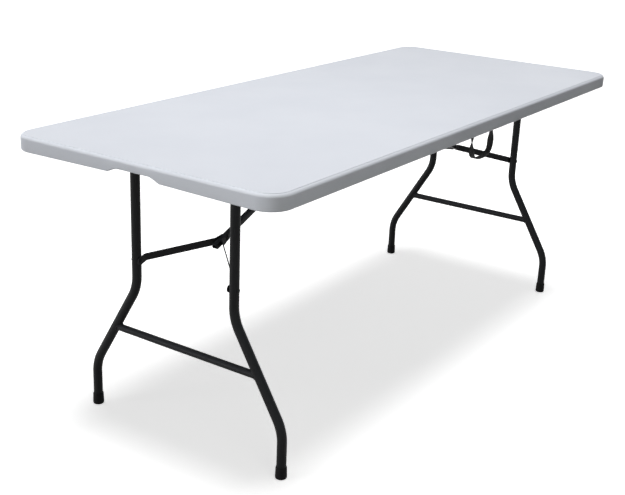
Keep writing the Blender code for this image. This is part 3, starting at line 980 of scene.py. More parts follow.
@dataclass
class MouldedTop:
    """The one-piece white top: panel, rounded skirt, raised field, hand notches and underside."""

    corner_radius: float = 0.055
    corner_facets: int = 18
    top_edge: float = 0.0080
    top_facets: int = 8
    skirt_edge: float = 0.004
    inner_fillet: float = 0.004
    small_facets: int = 4
    field_step: float = 0.0013
    field_slope: float = 0.0004
    notch_half: float = 0.042
    notch_flare: float = 0.050
    notch_depth: float = 0.0145
    notch_steps: int = 12
    notch_zone: float = 0.2
    channel_half_x: float = 0.725
    channel_half_y: float = 0.075
    channel_depth: float = 0.005
    channel_draft: float = 0.004
    pocket_pitch: float = 0.060
    pocket_land: float = 0.011
    pocket_draft: float = 0.006
    pocket_depth: float = 0.0032
    pocket_round: float = 0.009
    pocket_rows: tuple[float, ...] = (0.085, 0.145, 0.205, 0.265, 0.325)
    pocket_columns: int = 15
    bracket_half_x: float = 0.062
    bracket_from_y: float = 0.190
    bracket_to_y: float = 0.290
    crisp: float = 40.0

    def build(self) -> Piece:
        """Models the top from one block.

        Returns:
            The finished piece.
        """
        half_x, half_y = LEVELS.length / 2, LEVELS.width / 2
        rim = LEVELS.height - self.field_step
        top = add_block("moulded_top", (-half_x, -half_y, LEVELS.skirt_bottom), (half_x, half_y, rim))
        with editing(top):
            self.round_corners(top)
            self.sink_underside(top)
            self.round_edges(top, rim)
            self.raise_field(top, rim)
            self.cut_notches(top)
            self.sink_channel(top)
            self.press_pockets(top)
        return close_up(top, self.crisp)

    def round_corners(self, top: Piece) -> None:
        """Rounds the four upright corners."""
        round_where(top, lambda e: runs_along(e, 2), self.corner_radius, self.corner_facets)

    def sink_underside(self, top: Piece) -> None:
        """Insets the bottom by the skirt's wall and sinks it up to the panel.

        Args:
            top: The top, open in edit mode.
        """
        select_where(top, Pick.FACES, faces_down)
        bpy.ops.mesh.inset(thickness=LEVELS.skirt_wall, depth=0.0)
        extrude_selected((0.0, 0.0, LEVELS.underside - LEVELS.skirt_bottom))

    def round_edges(self, top: Piece, rim: float) -> None:
        """Rounds the top edge, the skirt's lower edges and the corner below the panel.

        Args:
            top: The top, open in edit mode.
            rim: Height of the rim round the raised field.
        """
        rounds = (
            (faces_up, rim, self.top_edge, self.top_facets),
            (faces_down, LEVELS.skirt_bottom, self.skirt_edge, self.small_facets),
            (faces_down, LEVELS.underside, self.inner_fillet, self.small_facets),
        )
        for level_face, height, radius, facets in rounds:
            round_where(
                top,
                lambda e: joins_faces(e, level_face, upright) and is_at(e, None, None, height),
                radius,
                facets,
            )

    def raise_field(self, top: Piece, rim: float) -> None:
        """Raises the field, with the first facet of the rounded edge round it, by its step.

        Args:
            top: The top, open in edit mode.
            rim: Height of the rim round the raised field.
        """
        select_where(top, Pick.FACES, lambda f: faces_up(f) and middle(f).z > LEVELS.underside + TINY)
        bpy.ops.mesh.inset(thickness=self.field_slope, depth=self.field_step)
        round_where(
            top,
            lambda e: joins_faces(e, faces_up, leans) and middle(e).z > rim + TINY,
            self.field_slope,
            2,
        )

    def notch_rise(self, y: float) -> float:
        """How far the skirt's lower edge rises at a place across the short end."""
        share = min(max((self.notch_half + self.notch_flare - abs(y)) / self.notch_flare, 0.0), 1.0)
        return self.notch_depth * share * share * (3 - 2 * share)

    def cut_notches(self, top: Piece) -> None:
        """Cuts columns into both short ends and lifts the skirt's lower edge into a hand notch.

        Args:
            top: The top, open in edit mode.
        """
        steps = self.notch_steps
        columns = [self.notch_half + self.notch_flare * i / steps for i in range(steps + 1)]
        wall = LEVELS.length / 2 - LEVELS.skirt_wall - TINY
        level = LEVELS.skirt_bottom + self.skirt_edge + TINY
        for y in [sign * column for column in columns for sign in (-1, 1)]:
            select_where(
                top,
                Pick.FACES,
                lambda f: abs(middle(f).x) > wall
                and abs(middle(f).y) < self.notch_zone
                and middle(f).z < LEVELS.underside,
            )
            bpy.ops.mesh.bisect(plane_co=(0.0, y, 0.0), plane_no=(0.0, 1.0, 0.0))
        for y in columns:
            select_where(
                top,
                Pick.POINTS,
                lambda v: abs(abs(v.co.y) - y) < TINY and abs(v.co.x) > wall and v.co.z < level,
            )
            bpy.ops.transform.translate(value=(0.0, 0.0, self.notch_rise(y)))

    def on_floor(self, face: Any) -> bool:
        """True for a face of the recess below the panel."""
        return faces_down(face) and abs(middle(face).z - LEVELS.underside) < TINY

    def score_floor(self, top: Piece, columns: Sequence[float], rows: Sequence[float]) -> None:
        """Scores the recess below the panel along lines on both sides of the middle.

        Args:
            top: The top, open in edit mode.
            columns: Distances of the lines across the table from its middle.
            rows: Distances of the lines along the table from its middle.
        """
        cuts = [((sign * x, 0.0, 0.0), (1.0, 0.0, 0.0)) for x in columns for sign in (-1, 1)]
        cuts += [((0.0, sign * y, 0.0), (0.0, 1.0, 0.0)) for y in rows for sign in (-1, 1)]
        for place, normal in cuts:
            select_where(top, Pick.FACES, self.on_floor)
            bpy.ops.mesh.bisect(plane_co=place, plane_no=normal)

    def sink_channel(self, top: Piece) -> None:
        """Sinks the long shallow channel that the folded brace lies in.

        Args:
            top: The top, open in edit mode.
        """
        self.score_floor(top, [self.channel_half_x], [self.channel_half_y])
        select_where(
            top,
            Pick.FACES,
            lambda f: self.on_floor(f)
            and abs(middle(f).x) < self.channel_half_x
            and abs(middle(f).y) < self.channel_half_y,
        )
        bpy.ops.mesh.inset(thickness=self.channel_draft, depth=-self.channel_depth)

    def takes_pocket(self, face: Any) -> bool:
        """True for a cell of the underside that gets a pocket, clear of the brackets.

        Args:
            face: A face of the top.

        Returns:
            True if a pocket is pressed into it.
        """
        place = middle(face)
        x, y = abs(place.x), abs(place.y)
        cell = self.pocket_pitch * self.pocket_pitch
        whole = abs(face.calc_area() - cell) < cell * 0.02
        beside = abs(x - LEVELS.leg_x) < self.bracket_half_x
        at_bracket = beside and self.bracket_from_y < y < self.bracket_to_y
        return self.on_floor(face) and whole and y > self.pocket_rows[0] and not at_bracket

    def press_pockets(self, top: Piece) -> None:
        """Presses rows of shallow pockets into the underside, where the two skins of the panel meet.

        Args:
            top: The top, open in edit mode.
        """
        columns = [self.pocket_pitch * (i + 0.5) for i in range(self.pocket_columns)]
        self.score_floor(top, columns, self.pocket_rows)
        found = select_where(top, Pick.FACES, self.takes_pocket)
        LOG.info("moulded_top: %d pockets in the underside", found)
        bpy.ops.mesh.inset(thickness=self.pocket_land, depth=0.0, use_individual=True)
        bpy.ops.mesh.inset(thickness=self.pocket_draft, depth=-self.pocket_depth, use_individual=True)
        levels = {round(LEVELS.underside, 5), round(LEVELS.underside + self.pocket_depth, 5)}
        round_where(
            top,
            lambda e: {round(v.co.z, 5) for v in e.verts} == levels,
            self.pocket_round,
            3,
        )

    def install(self, shop: Workshop) -> None:
        """Builds the top and sets it on the table."""
        shop.install(self.build(), "table", Slot.RESIN, "tabletop")


# Leg frames


@dataclass
class LegFrame:
    """One end's welded frame: two bent legs with caps, the pivot tube, the crossbar and its welds."""

    radius: float = 0.01175
    wall: float = 0.0014
    top_y: float = 0.150
    foot_y: float = 0.295
    upper_bend: float = 0.362
    lower_bend: float = 0.121
    bend_radius: float = 0.110
    pivot_half: float = 0.221
    pivot_bore: float = 0.04
    crossbar_radius: float = 0.00925
    crossbar_z: float = 0.239
    crossbar_ease: float = 0.001
    foot_radius: float = 0.01425
    foot_height: float = 0.030
    foot_sole: float = 0.006
    foot_lip: float = 0.004
    bead: float = 0.0021
    bead_sides: int = 8
    bead_full: float = 1.12
    bead_thin: float = 0.86
    bead_crisp: float = 80.0
    leg_weld_steps: int = 54
    crossbar_weld_steps: int = 42
    bend_steps: int = 14
    sides: int = 40
    foot_sides: int = 48
    crisp: float = 50.0

    @property
    def splay(self) -> float:
        """Angle of a leg's slanted run from upright."""
        return math.atan2(self.foot_y - self.top_y, self.upper_bend - self.lower_bend)

    def leg(self) -> Piece:
        """Models the right rear leg: a ring extruded down its runs and spun round its bends.

        Returns:
            The finished piece.
        """
        splay = self.splay
        set_back = self.bend_radius * math.tan(splay / 2)
        run = math.hypot(self.foot_y - self.top_y, self.upper_bend - self.lower_bend) - 2 * set_back
        start = LEVELS.pivot_z - self.radius * 0.4
        deselect_all()
        bpy.ops.mesh.primitive_circle_add(
            vertices=self.sides,
            radius=self.radius,
            fill_type="NGON",
            location=(LEVELS.leg_x, self.top_y, start),
        )
        leg = settle("right_rear_leg_tube")
        with editing(leg):
            bpy.ops.mesh.select_all(action="SELECT")
            bend = {"steps": self.bend_steps, "axis": (1.0, 0.0, 0.0)}
            bend_z = self.upper_bend + set_back
            extrude_selected((0.0, 0.0, bend_z - start))
            centre = (LEVELS.leg_x, self.top_y + self.bend_radius, bend_z)
            bpy.ops.mesh.spin(angle=-splay, center=centre, **bend)
            extrude_selected((0.0, run * math.sin(splay), -run * math.cos(splay)))
            centre = (LEVELS.leg_x, self.foot_y - self.bend_radius, self.lower_bend - set_back)
            bpy.ops.mesh.spin(angle=splay, center=centre, **bend)
            extrude_selected((0.0, 0.0, self.foot_sole - (self.lower_bend - set_back)))
        return close_up(leg, self.crisp)

    def foot(self) -> Piece:
        """Turns the moulded cap of the right rear leg, with two ribs and a rounded sole.

        Returns:
            The finished piece.
        """
        outer, height = self.foot_radius, self.foot_height
        profile = [
            (outer * 0.70, 0.0),
            (outer * 0.86, 0.0003),
            (outer * 0.96, 0.0014),
            (outer, 0.0040),
            (outer, 0.0068),
            (outer * 0.965, 0.0074),
            (outer * 0.965, 0.0082),
            (outer * 0.993, 0.0089),
            (outer * 0.965, height * 0.62),
            (outer * 0.952, height * 0.92),
            (outer * 0.925, height * 0.985),
            (outer * 0.885, height),
            (self.radius * 1.02, height),
            (self.radius * 1.02, height - self.foot_lip),
        ]
        foot = turn_piece("right_rear_foot_cap", profile, self.foot_sides)
        move_piece(foot, (LEVELS.leg_x, self.foot_y, 0.0))
        return close_up(foot, self.crisp)

    def pivot_tube(self) -> Piece:
        """Turns the open tube that the frame swings on.

        Returns:
            The finished piece.
        """
        half, outer, inner = self.pivot_half, self.radius, self.radius - self.wall
        ease = self.wall * 0.3
        profile = [
            (inner, -half + self.pivot_bore),
            (inner, -half + ease),
            (inner + ease, -half),
            (outer - ease, -half),
            (outer, -half + ease),
        ]
        profile += [(radius, -height) for radius, height in profile[::-1]]
        tube = turn_piece("right_pivot_axle", profile, self.sides)
        move_piece(tube, (LEVELS.leg_x, 0.0, LEVELS.pivot_z), "X", math.pi / 2)
        return close_up(tube, self.crisp)

    def crossbar_reach(self) -> float:
        """Distance of the leg's middle line from the middle of the table at the crossbar."""
        return self.top_y + (self.upper_bend - self.crossbar_z) * math.tan(self.splay)

    def crossbar(self) -> Piece:
        """Turns the bar between the splayed legs.

        Returns:
            The finished piece.
        """
        reach, radius = self.crossbar_reach(), self.crossbar_radius
        profile = [(radius * 0.94, -reach), (radius, -reach + self.crossbar_ease)]
        profile += [(edge, -height) for edge, height in profile[::-1]]
        bar = turn_piece("right_crossbar_tube", profile, self.sides)
        move_piece(bar, (LEVELS.leg_x, 0.0, self.crossbar_z), "X", math.pi / 2)
        return close_up(bar, self.crisp)

    def weld(self, name: str, loop: Sequence[Vector]) -> Piece:
        """Lays a rippled weld bead along a closed loop.

        Args:
            name: The piece's name.
            loop: Points of the bead's middle line.

        Returns:
            The finished piece.
        """
        ring = self.bead_sides
        deselect_all()
        bpy.ops.mesh.primitive_torus_add(
            major_radius=1.0, minor_radius=self.bead, major_segments=len(loop), minor_segments=ring
        )
        bead = settle(name)
        with editing(bead):
            mesh = bmesh.from_edit_mesh(bead.data)
            mesh.verts.ensure_lookup_table()
            centre = sum(loop, Vector()) / len(loop)
            for index, point in enumerate(loop):
                out = (point - centre).normalized()
                along = (loop[(index + 1) % len(loop)] - loop[index - 1]).normalized()
                up = along.cross(out).normalized()
                swell = self.bead * (self.bead_thin if index % 3 else self.bead_full)
                for step in range(ring):
                    turn = 2 * math.pi * step / ring
                    place = point + (out * math.cos(turn) + up * math.sin(turn)) * swell
                    mesh.verts[index * ring + step].co = place
            bmesh.update_edit_mesh(bead.data)
        return close_up(bead, self.bead_crisp)

    def leg_weld(self) -> Piece:
        """The bead where the right rear leg meets the pivot tube.

        Returns:
            The bead.
        """
        loop, steps = [], self.leg_weld_steps
        for step in range(steps):
            turn = 2 * math.pi * step / steps
            x, y = self.radius * math.cos(turn), self.radius * math.sin(turn)
            z = -math.sqrt(max(self.radius**2 - x * x, 0.0))
            loop.append(Vector((LEVELS.leg_x + x, self.top_y + y, LEVELS.pivot_z + z)))
        return self.weld("right_rear_leg_weld", loop)

    def crossbar_weld(self) -> Piece:
        """The bead where the crossbar meets the right rear leg.

        Returns:
            The bead.
        """
        loop, steps = [], self.crossbar_weld_steps
        for step in range(steps):
            turn = 2 * math.pi * step / steps
            x, z = self.crossbar_radius * math.cos(turn), self.crossbar_radius * math.sin(turn)
            depth = math.sqrt(self.radius**2 - x * x) / math.cos(self.splay)
            y = self.crossbar_reach() - z * math.tan(self.splay) - depth
            loop.append(Vector((LEVELS.leg_x + x, y, self.crossbar_z + z)))
        return self.weld("right_rear_crossbar_weld", loop)

    def install(self, shop: Workshop) -> None:
        """Builds the right frame and sets it and its copy at the left end on their bodies.

        Args:
            shop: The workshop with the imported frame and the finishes.
        """
        body = "right_leg_frame"
        pairs = [
            (self.leg(), Slot.PAINT, "leg"),
            (self.foot(), Slot.RUBBER, "foot"),
            (self.leg_weld(), Slot.PAINT, None),
            (self.crossbar_weld(), Slot.PAINT, None),
        ]
        for rear, slot, label in pairs:
            front = half_turn_copy(rear, rear.name.replace("rear", "front"), LEVELS.leg_x)
            for side, piece in ((Side.REAR, rear), (Side.FRONT, front)):
                nodes = [f"right_{side.label}_{label}"] if label else []
                shop.install_pair(piece, body, slot, *nodes)
        shop.install_pair(self.pivot_tube(), body, Slot.PAINT, "right_pivot_tube")
        shop.install_pair(self.crossbar(), body, Slot.PAINT, "right_crossbar")


# Carrying strap


@dataclass
class CarryStrap:
    """The flat webbing loop under the front side, screwed to the skirt by its two ends."""

    width: float = 0.0165
    thickness: float = 0.0025
    node_thickness: float = 0.0026
    seat_gap: float = 0.0003
    span: float = 0.111
    drop: float = 0.068
    tail: float = 0.0155
    offset: float = 0.016
    squareness: float = 0.28
    twist_part: float = 0.24
    tail_steps: int = 8
    fine_steps: int = 720
    steps: int = 150
    threads: int = 18
    rib_count: int = 9
    rib_height: float = 0.00010
    edge: float = 0.00075
    crisp: float = 60.0

    def middle_line(self) -> list[Vector]:
        """Points along the strap's middle, from its left end round to its right end.

        Returns:
            The points, a fine step apart.
        """
        y = -LEVELS.width / 2 + LEVELS.skirt_wall + self.seat_gap + self.node_thickness / 2
        half = self.span / 2
        tail = [self.tail * (i + 1) / self.tail_steps for i in range(self.tail_steps)]
        flat = [(-half, rise) for rise in tail[::-1]]
        for i in range(self.fine_steps + 1):
            turn = math.pi * i / self.fine_steps
            sag = max(math.sin(turn), 0.0) ** self.squareness
            flat.append((-half * math.cos(turn), -self.drop * sag))
        flat += [(half, rise) for rise in tail]
        return [Vector((self.offset + x, y, LEVELS.skirt_bottom + z)) for x, z in flat]

    def station(self, line: Sequence[Vector], run: Sequence[float], share: float) -> Station:
        """Place, direction across and direction of thickness at a share of the strap's length.

        Args:
            line: Points along the middle.
            run: Distance along the strap at each point.
            share: From 0 at the left end to 1 at the right end.

        Returns:
            The three vectors.
        """
        goal = share * run[-1]
        index = next((i for i, distance in enumerate(run) if distance >= goal), len(run) - 1)
        index = max(index, 1)
        part = (goal - run[index - 1]) / (run[index] - run[index - 1])
        point = line[index - 1].lerp(line[index], min(max(part, 0.0), 1.0))
        way = (line[min(index + 1, len(line) - 1)] - line[max(index - 2, 0)]).normalized()
        free = run[-1] - 2 * self.tail
        loose = min(max((goal - self.tail) / free, 0.0), 1.0)
        ease = min(min(loose, 1 - loose) / self.twist_part, 1.0)
        ease = ease * ease * (3 - 2 * ease)
        turn = math.pi / 2 * (ease if loose < 0.5 else 2 - ease)
        level = Vector((math.cos(turn), math.sin(turn), 0.0))
        across = (level - way * level.dot(way)).normalized()
        return point, across, way.cross(across).normalized()

    def build(self) -> Piece:
        """Lays a flat grid along the loop, ribs it and gives it its thickness.

        Returns:
            The finished piece, with U along the strap and V across it.
        """
        line = self.middle_line()
        run = [0.0]
        for before, after in zip(line, line[1:]):
            run.append(run[-1] + (after - before).length)
        deselect_all()
        bpy.ops.mesh.primitive_grid_add(x_subdivisions=self.steps, y_subdivisions=self.threads, size=1.0)
        strap = settle("webbing_strap")
        with editing(strap):
            mesh = bmesh.from_edit_mesh(strap.data)
            stations: dict[float, Station] = {}
            for vert in mesh.verts:
                share = round(vert.co.x + 0.5, 5)
                if share not in stations:
                    stations[share] = self.station(line, run, share)
                point, across, thick = stations[share]
                rib = self.rib_height * math.cos(2 * math.pi * self.rib_count * vert.co.y)
                vert.co = point + across * vert.co.y * self.width + thick * rib
            bmesh.update_edit_mesh(strap.data)
        LOG.info("webbing_strap: %.3f m long", run[-1])
        apply_modifier(strap, "SOLIDIFY", thickness=self.thickness, offset=0.0)
        ease_edges(strap, self.edge, self.crisp)
        return close_up(strap, self.crisp)

    def install(self, shop: Workshop) -> None:
        """Builds the strap and sets it on the table."""
        shop.install(self.build(), "table", Slot.WEBBING, "carry_strap")


# Folding braces


@dataclass
class Braces:
    """The folding braces: bent flat struts, square tube arms, and the brackets on the panel."""

    strut_length: float = 0.158703
    strut_slope: float = math.radians(19.25)
    strut_z: float = 0.433
    strut_height: float = 0.019
    strut_end_height: float = 0.0125
    tab_y: float = 0.1367
    tab_length: float = 0.018
    plate_y: float = 0.0083
    plate_length: float = 0.020
    bend_radius: float = 0.010
    arm_length: float = 0.599968
    arm_slope: float = math.radians(22.25)
    arm_x: float = 0.042875
    arm_z: float = 0.7125
    arm_side: float = 0.0135
    arm_wall: float = 0.0015
    arm_edge: float = 0.0012
    arm_tail: float = 0.036
    sheet: float = 0.0025
    fold_radius: float = 0.00325
    bracket_half: float = 0.017
    web_round: float = 0.0119
    flange_round: float = 0.0068
    ear_round: float = 0.0085
    clip_round: float = 0.00595
    web_y: float = 0.211
    axle_bore: float = 0.01205
    axle_foot: float = 0.01775
    flange: float = 0.045
    ear_y: float = 0.00705
    ear_foot: float = 0.009
    ear_flange: float = 0.030
    channel_floor: float = 0.724
    seat_gap: float = 0.0003
    rivet_hole: float = 0.0033
    screw_hole: float = 0.0024
    flange_holes: tuple[float, float] = (0.38, 0.80)
    edge: float = 0.0005
    crisp: float = 40.0
    bend_steps: int = 8
    tip_facets: int = 8
    tip_share: float = 0.97
    tab_facets: int = 6
    bore_sides: int = 48

    def strut(self, side: Side) -> Piece:
        """Bends a flat bar from the tab on the leg to the plate on the arm, at the right end.

        Args:
            side: The long side that its leg stands on.

        Returns:
            The finished piece.
        """
        sign, half, tip = side.value, self.strut_height / 2, self.strut_end_height / 2
        slant_start, slant_end = self.tab_length, self.strut_length - self.plate_length
        slant = math.atan2(self.tab_y - self.plate_y, slant_end - slant_start)
        set_back = self.bend_radius * math.tan(slant / 2)
        run = math.hypot(self.tab_y - self.plate_y, slant_end - slant_start) - 2 * set_back
        near, far = sorted((sign * (self.tab_y - self.sheet / 2), sign * (self.tab_y + self.sheet / 2)))
        bend_x = slant_start - set_back
        bar = add_block(f"right_{side.label}_strut_bar", (-half, near, -half), (bend_x, far, half))
        with editing(bar):
            select_where(bar, Pick.FACES, lambda f: f.normal.x > STRAIGHT)
            bend = {"steps": self.bend_steps, "axis": (0.0, 0.0, 1.0)}
            centre = (bend_x, sign * (self.tab_y - self.bend_radius), 0.0)
            bpy.ops.mesh.spin(angle=sign * slant, center=centre, **bend)
            extrude_selected((run * math.cos(slant), -sign * run * math.sin(slant), 0.0))
            centre = (slant_end + set_back, sign * (self.plate_y + self.bend_radius), 0.0)
            bpy.ops.mesh.spin(angle=-sign * slant, center=centre, **bend)
            extrude_selected((self.strut_length - slant_end - set_back, 0.0, 0.0))
            bpy.ops.transform.resize(value=(1.0, 1.0, tip / half), center_override=(0.0, 0.0, 0.0))
            extrude_selected((tip, 0.0, 0.0))
            self.round_tip(bar, -half, half)
            self.round_tip(bar, self.strut_length + tip, tip)
        for x in (0.0, self.strut_length):
            drill(bar, (x, 0.0, 0.0), "Y", self.rivet_hole, LEVELS.width)
        ease_edges(bar, self.edge, self.crisp)
        angle = math.pi + self.strut_slope
        return move_piece(close_up(bar), (LEVELS.leg_x, 0.0, self.strut_z), "Y", angle)

    def round_tip(self, bar: Piece, x: float, half: float) -> None:
        """Rounds the tip of a bar that lies along X, seen from its side."""
        round_where(bar, edge_at(1, x), half * self.tip_share, self.tip_facets)

    def arm(self) -> Piece:
        """Shapes the right arm: a square tube with rounded edges and ends, drilled for pin and bush.

        Returns:
            The finished piece.
        """
        half, reach = self.arm_side / 2, self.arm_length + self.arm_tail
        arm = add_block("right_arm_tube", (-half, -half, -half), (reach + half, half, half))
        with editing(arm):
            self.round_tip(arm, -half, half)
            self.round_tip(arm, reach + half, half)
            round_where(
                arm,
                lambda e: joins_faces(e, looks_across, looks_along),
                self.arm_edge,
                3,
            )
        inside = half - self.arm_wall
        bore = add_block("bore", (-LEVELS.length, -inside, -inside), (LEVELS.length, inside, inside))
        cut_away(arm, bore)
        for x in (0.0, self.arm_length):
            drill(arm, (x, 0.0, 0.0), "Y", self.rivet_hole, self.arm_side)
        return move_piece(close_up(arm), (self.arm_x, 0.0, self.arm_z), "Y", self.arm_slope)

    def pivot_bracket(self, side: Side) -> Piece:
        """Folds the angle that one end of the right pivot tube turns in.

        Args:
            side: The long side that it is screwed next to.

        Returns:
            The finished piece.
        """
        sign, half = side.value, self.bracket_half
        top = LEVELS.underside - LEVELS.pivot_z - self.seat_gap
        low, high = sorted((sign * self.web_y, sign * (self.web_y + self.sheet)))
        foot, fold = -self.axle_foot, top - self.sheet
        angle = add_block(f"right_{side.label}_pivot_angle", (-half, low, foot), (half, high, top))
        with editing(angle):
            bpy.ops.mesh.select_all(action="SELECT")
            bpy.ops.mesh.bisect(plane_co=(0.0, 0.0, fold), plane_no=(0.0, 0.0, 1.0))
            select_where(
                angle,
                Pick.FACES,
                lambda f: f.normal.y * sign > STRAIGHT and middle(f).z > fold,
            )
            extrude_selected((0.0, sign * (self.flange - self.sheet), 0.0))
            inner_y, far_y = sign * self.web_y, sign * (self.web_y + self.flange)
            round_where(angle, edge_at(0, None, inner_y, top), self.fold_radius, 4)
            round_where(angle, edge_at(1, None, None, foot), self.web_round, self.tip_facets)
            round_where(angle, edge_at(2, None, far_y), self.flange_round, self.tab_facets)
        through = 4 * self.sheet
        drill(angle, (0.0, sign * self.web_y, 0.0), "Y", self.axle_bore, through, self.bore_sides)
        for share in self.flange_holes:
            y = sign * (self.web_y + self.flange * share)
            drill(angle, (0.0, y, top), "Z", self.screw_hole, through)
        ease_edges(angle, self.edge, self.crisp)
        return move_piece(close_up(angle), (LEVELS.leg_x, 0.0, LEVELS.pivot_z))

    def arm_bracket(self) -> Piece:
        """Folds the two-eared bracket that the right arm swings in.

        Returns:
            The finished piece.
        """
        half, near = self.bracket_half, self.ear_y
        top = self.channel_floor - self.arm_z - self.seat_gap
        fold, web = top - self.sheet, near + self.sheet
        far = web + self.ear_flange
        clip = add_block("right_arm_clip", (-half, -far, fold), (half, far, top))
        with editing(clip):
            for y in (-web, -near, near, web):
                bpy.ops.mesh.select_all(action="SELECT")
                bpy.ops.mesh.bisect(plane_co=(0.0, y, 0.0), plane_no=(0.0, 1.0, 0.0))
            select_where(clip, Pick.FACES, lambda f: faces_down(f) and near < abs(middle(f).y) < web)
            foot = -self.ear_foot
            extrude_selected((0.0, 0.0, foot - fold))
            round_where(clip, edge_at(1, None, None, foot), self.ear_round, self.tip_facets)
            for y in (-far, far):
                round_where(clip, edge_at(2, None, y), self.clip_round, self.tab_facets)
        drill(clip, (0.0, 0.0, 0.0), "Y", self.rivet_hole, 4 * far)
        for sign in (-1, 1):
            y = sign * (self.plate_y + self.ear_flange / 2)
            drill(clip, (0.0, y, top), "Z", self.screw_hole, 4 * self.sheet)
        ease_edges(clip, self.edge, self.crisp)
        return move_piece(close_up(clip), (self.arm_x, 0.0, self.arm_z))

    def install(self, shop: Workshop) -> None:
        """Builds the right end's pieces and sets them, and copies at the left end, on their bodies.

        Args:
            shop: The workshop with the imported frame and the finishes.
        """
        for side in Side:
            place = f"right_{side.label}"
            shop.install_pair(self.strut(side), "right_struts", Slot.PAINT, f"{place}_strut")
            shop.install_pair(self.pivot_bracket(side), "table", Slot.ZINC, f"{place}_pivot_bracket")
        shop.install_pair(self.arm(), "right_arm", Slot.PAINT, "right_brace_arm")
        shop.install_pair(self.arm_bracket(), "table", Slot.ZINC, "right_arm_bracket")


# Fasteners


@dataclass
class Fasteners:
    """Pan-head screws with a crossed recess, and domed rivets."""

    screw_head: float = 0.0045
    screw_height: float = 0.0024
    shank: float = 0.0021
    shank_length: float = 0.0045
    shank_point: float = 0.0007
    screw_crisp: float = 32.0
    recess_long: float = 0.0019
    recess_short: float = 0.00045
    recess_taper: float = 0.5
    turn_step: float = math.radians(37.0)
    rivet_head: float = 0.0055
    rivet_height: float = 0.0022
    outer_height: float = 0.0009
    rivet_shank: float = 0.0029
    rivet_crisp: float = 40.0
    sides: int = 32

    def screw(self) -> Piece:
        """Models one screw: its head seats at the origin and looks up Z.

        Returns:
            The finished piece.
        """
        head, height = self.screw_head, self.screw_height
        profile = [
            (self.shank * 0.4, -self.shank_length),
            (self.shank, -self.shank_length + self.shank_point),
            (self.shank, 0.0),
            (head * 0.97, 0.0),
            (head, height * 0.10),
            (head, height * 0.28),
            (head * 0.95, height * 0.52),
            (head * 0.82, height * 0.76),
            (head * 0.60, height * 0.93),
            (head * 0.30, height),
        ]
        screw = turn_piece("screw_master", profile, self.sides)
        taper = (self.recess_taper, self.recess_taper, 1.0)
        crossed = ((self.recess_long, self.recess_short), (self.recess_short, self.recess_long))
        for width, depth in crossed:
            blade = add_block("blade", (-width, -depth, height * 0.35), (width, depth, height * 1.5))
            with editing(blade):
                select_where(blade, Pick.FACES, faces_down)
                bpy.ops.transform.resize(value=taper, center_override=(0.0, 0.0, 0.0))
            cut_away(screw, blade)
        return close_up(screw, self.screw_crisp)

    def place_screws(self, shop: Workshop) -> None:
        """Copies the screw to every screw node, each turned a little further.

        Args:
            shop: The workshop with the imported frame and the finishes.
        """
        master = self.screw()
        names = sorted(name for name in shop.frame["nodes"] if "screw" in name)
        for index, name in enumerate(names):
            low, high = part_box(name)
            centre = (low + high) / 2
            copy = copy_piece(master, f"{name}_head")
            move_piece(copy, (0.0, 0.0, 0.0), "Z", self.turn_step * index)
            if name.startswith("strap"):
                move_piece(copy, (centre.x, high.y - self.screw_height, centre.z), "X", -math.pi / 2)
            else:
                move_piece(copy, (centre.x, centre.y, low.z + self.screw_height), "X", math.pi)
            shop.install(copy, "table", Slot.ZINC, name)
        bpy.data.objects.remove(master)

    def dome(self, base: float, rise: float) -> list[tuple[float, float]]:
        """(radius, height) points of a rivet head.

        Args:
            base: Height at which the head starts.
            rise: How far it stands up, or under 0 if it looks down.

        Returns:
            The points, from its rim to its middle.
        """
        shape = ((0.96, 0.0), (1.0, 0.12), (1.0, 0.30), (0.94, 0.55))
        shape += ((0.80, 0.78), (0.58, 0.93), (0.30, 1.0), (0.12, 0.97))
        return [(self.rivet_head * radius, base + rise * height) for radius, height in shape]

    def rivet(self, name: str, low: float, high: float, heads: tuple[float, float]) -> Piece:
        """Turns one rivet along Z.

        Args:
            name: The piece's name.
            low: Where it starts.
            high: Where it ends.
            heads: Heights of its lower and its upper head, or 0 for none.

        Returns:
            The piece.
        """
        start, end = low + heads[0], high - heads[1]
        profile = self.dome(start, -heads[0])[::-1] if heads[0] else []
        profile += [(self.rivet_shank, start), (self.rivet_shank, end)]
        profile += self.dome(end, heads[1]) if heads[1] else []
        return turn_piece(name, profile, self.sides)

    def place_rivets(self, shop: Workshop) -> None:
        """Puts a domed rivet on every rivet and pin node.

        Args:
            shop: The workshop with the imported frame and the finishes.
        """
        kinds = {
            "leg_rivet": ("leg_frame", Slot.PAINT, self.rivet_height, self.outer_height),
            "joint_rivet": ("struts", Slot.PAINT, 0.0, self.rivet_height),
            "arm_pin": ("table", Slot.ZINC, self.rivet_height, self.rivet_height),
        }
        for name in sorted(shop.frame["nodes"]):
            kind = next((label for label in kinds if name.endswith(label)), None)
            if kind is None:
                continue
            body, slot, inner, outer = kinds[kind]
            low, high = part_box(name)
            centre = (low + high) / 2
            heads = (inner, outer) if centre.y > 0.0 else (outer, inner)
            piece = self.rivet(f"{name}_dome", low.y, high.y, heads)
            move_piece(piece, (centre.x, 0.0, centre.z), "X", -math.pi / 2)
            if body != "table":
                body = f"{name.split('_')[0]}_{body}"
            shop.install(close_up(piece, self.rivet_crisp), body, slot, name)

    def install(self, shop: Workshop) -> None:
        """Puts every screw and rivet in place."""
        self.place_screws(shop)
        self.place_rivets(shop)


# Stage


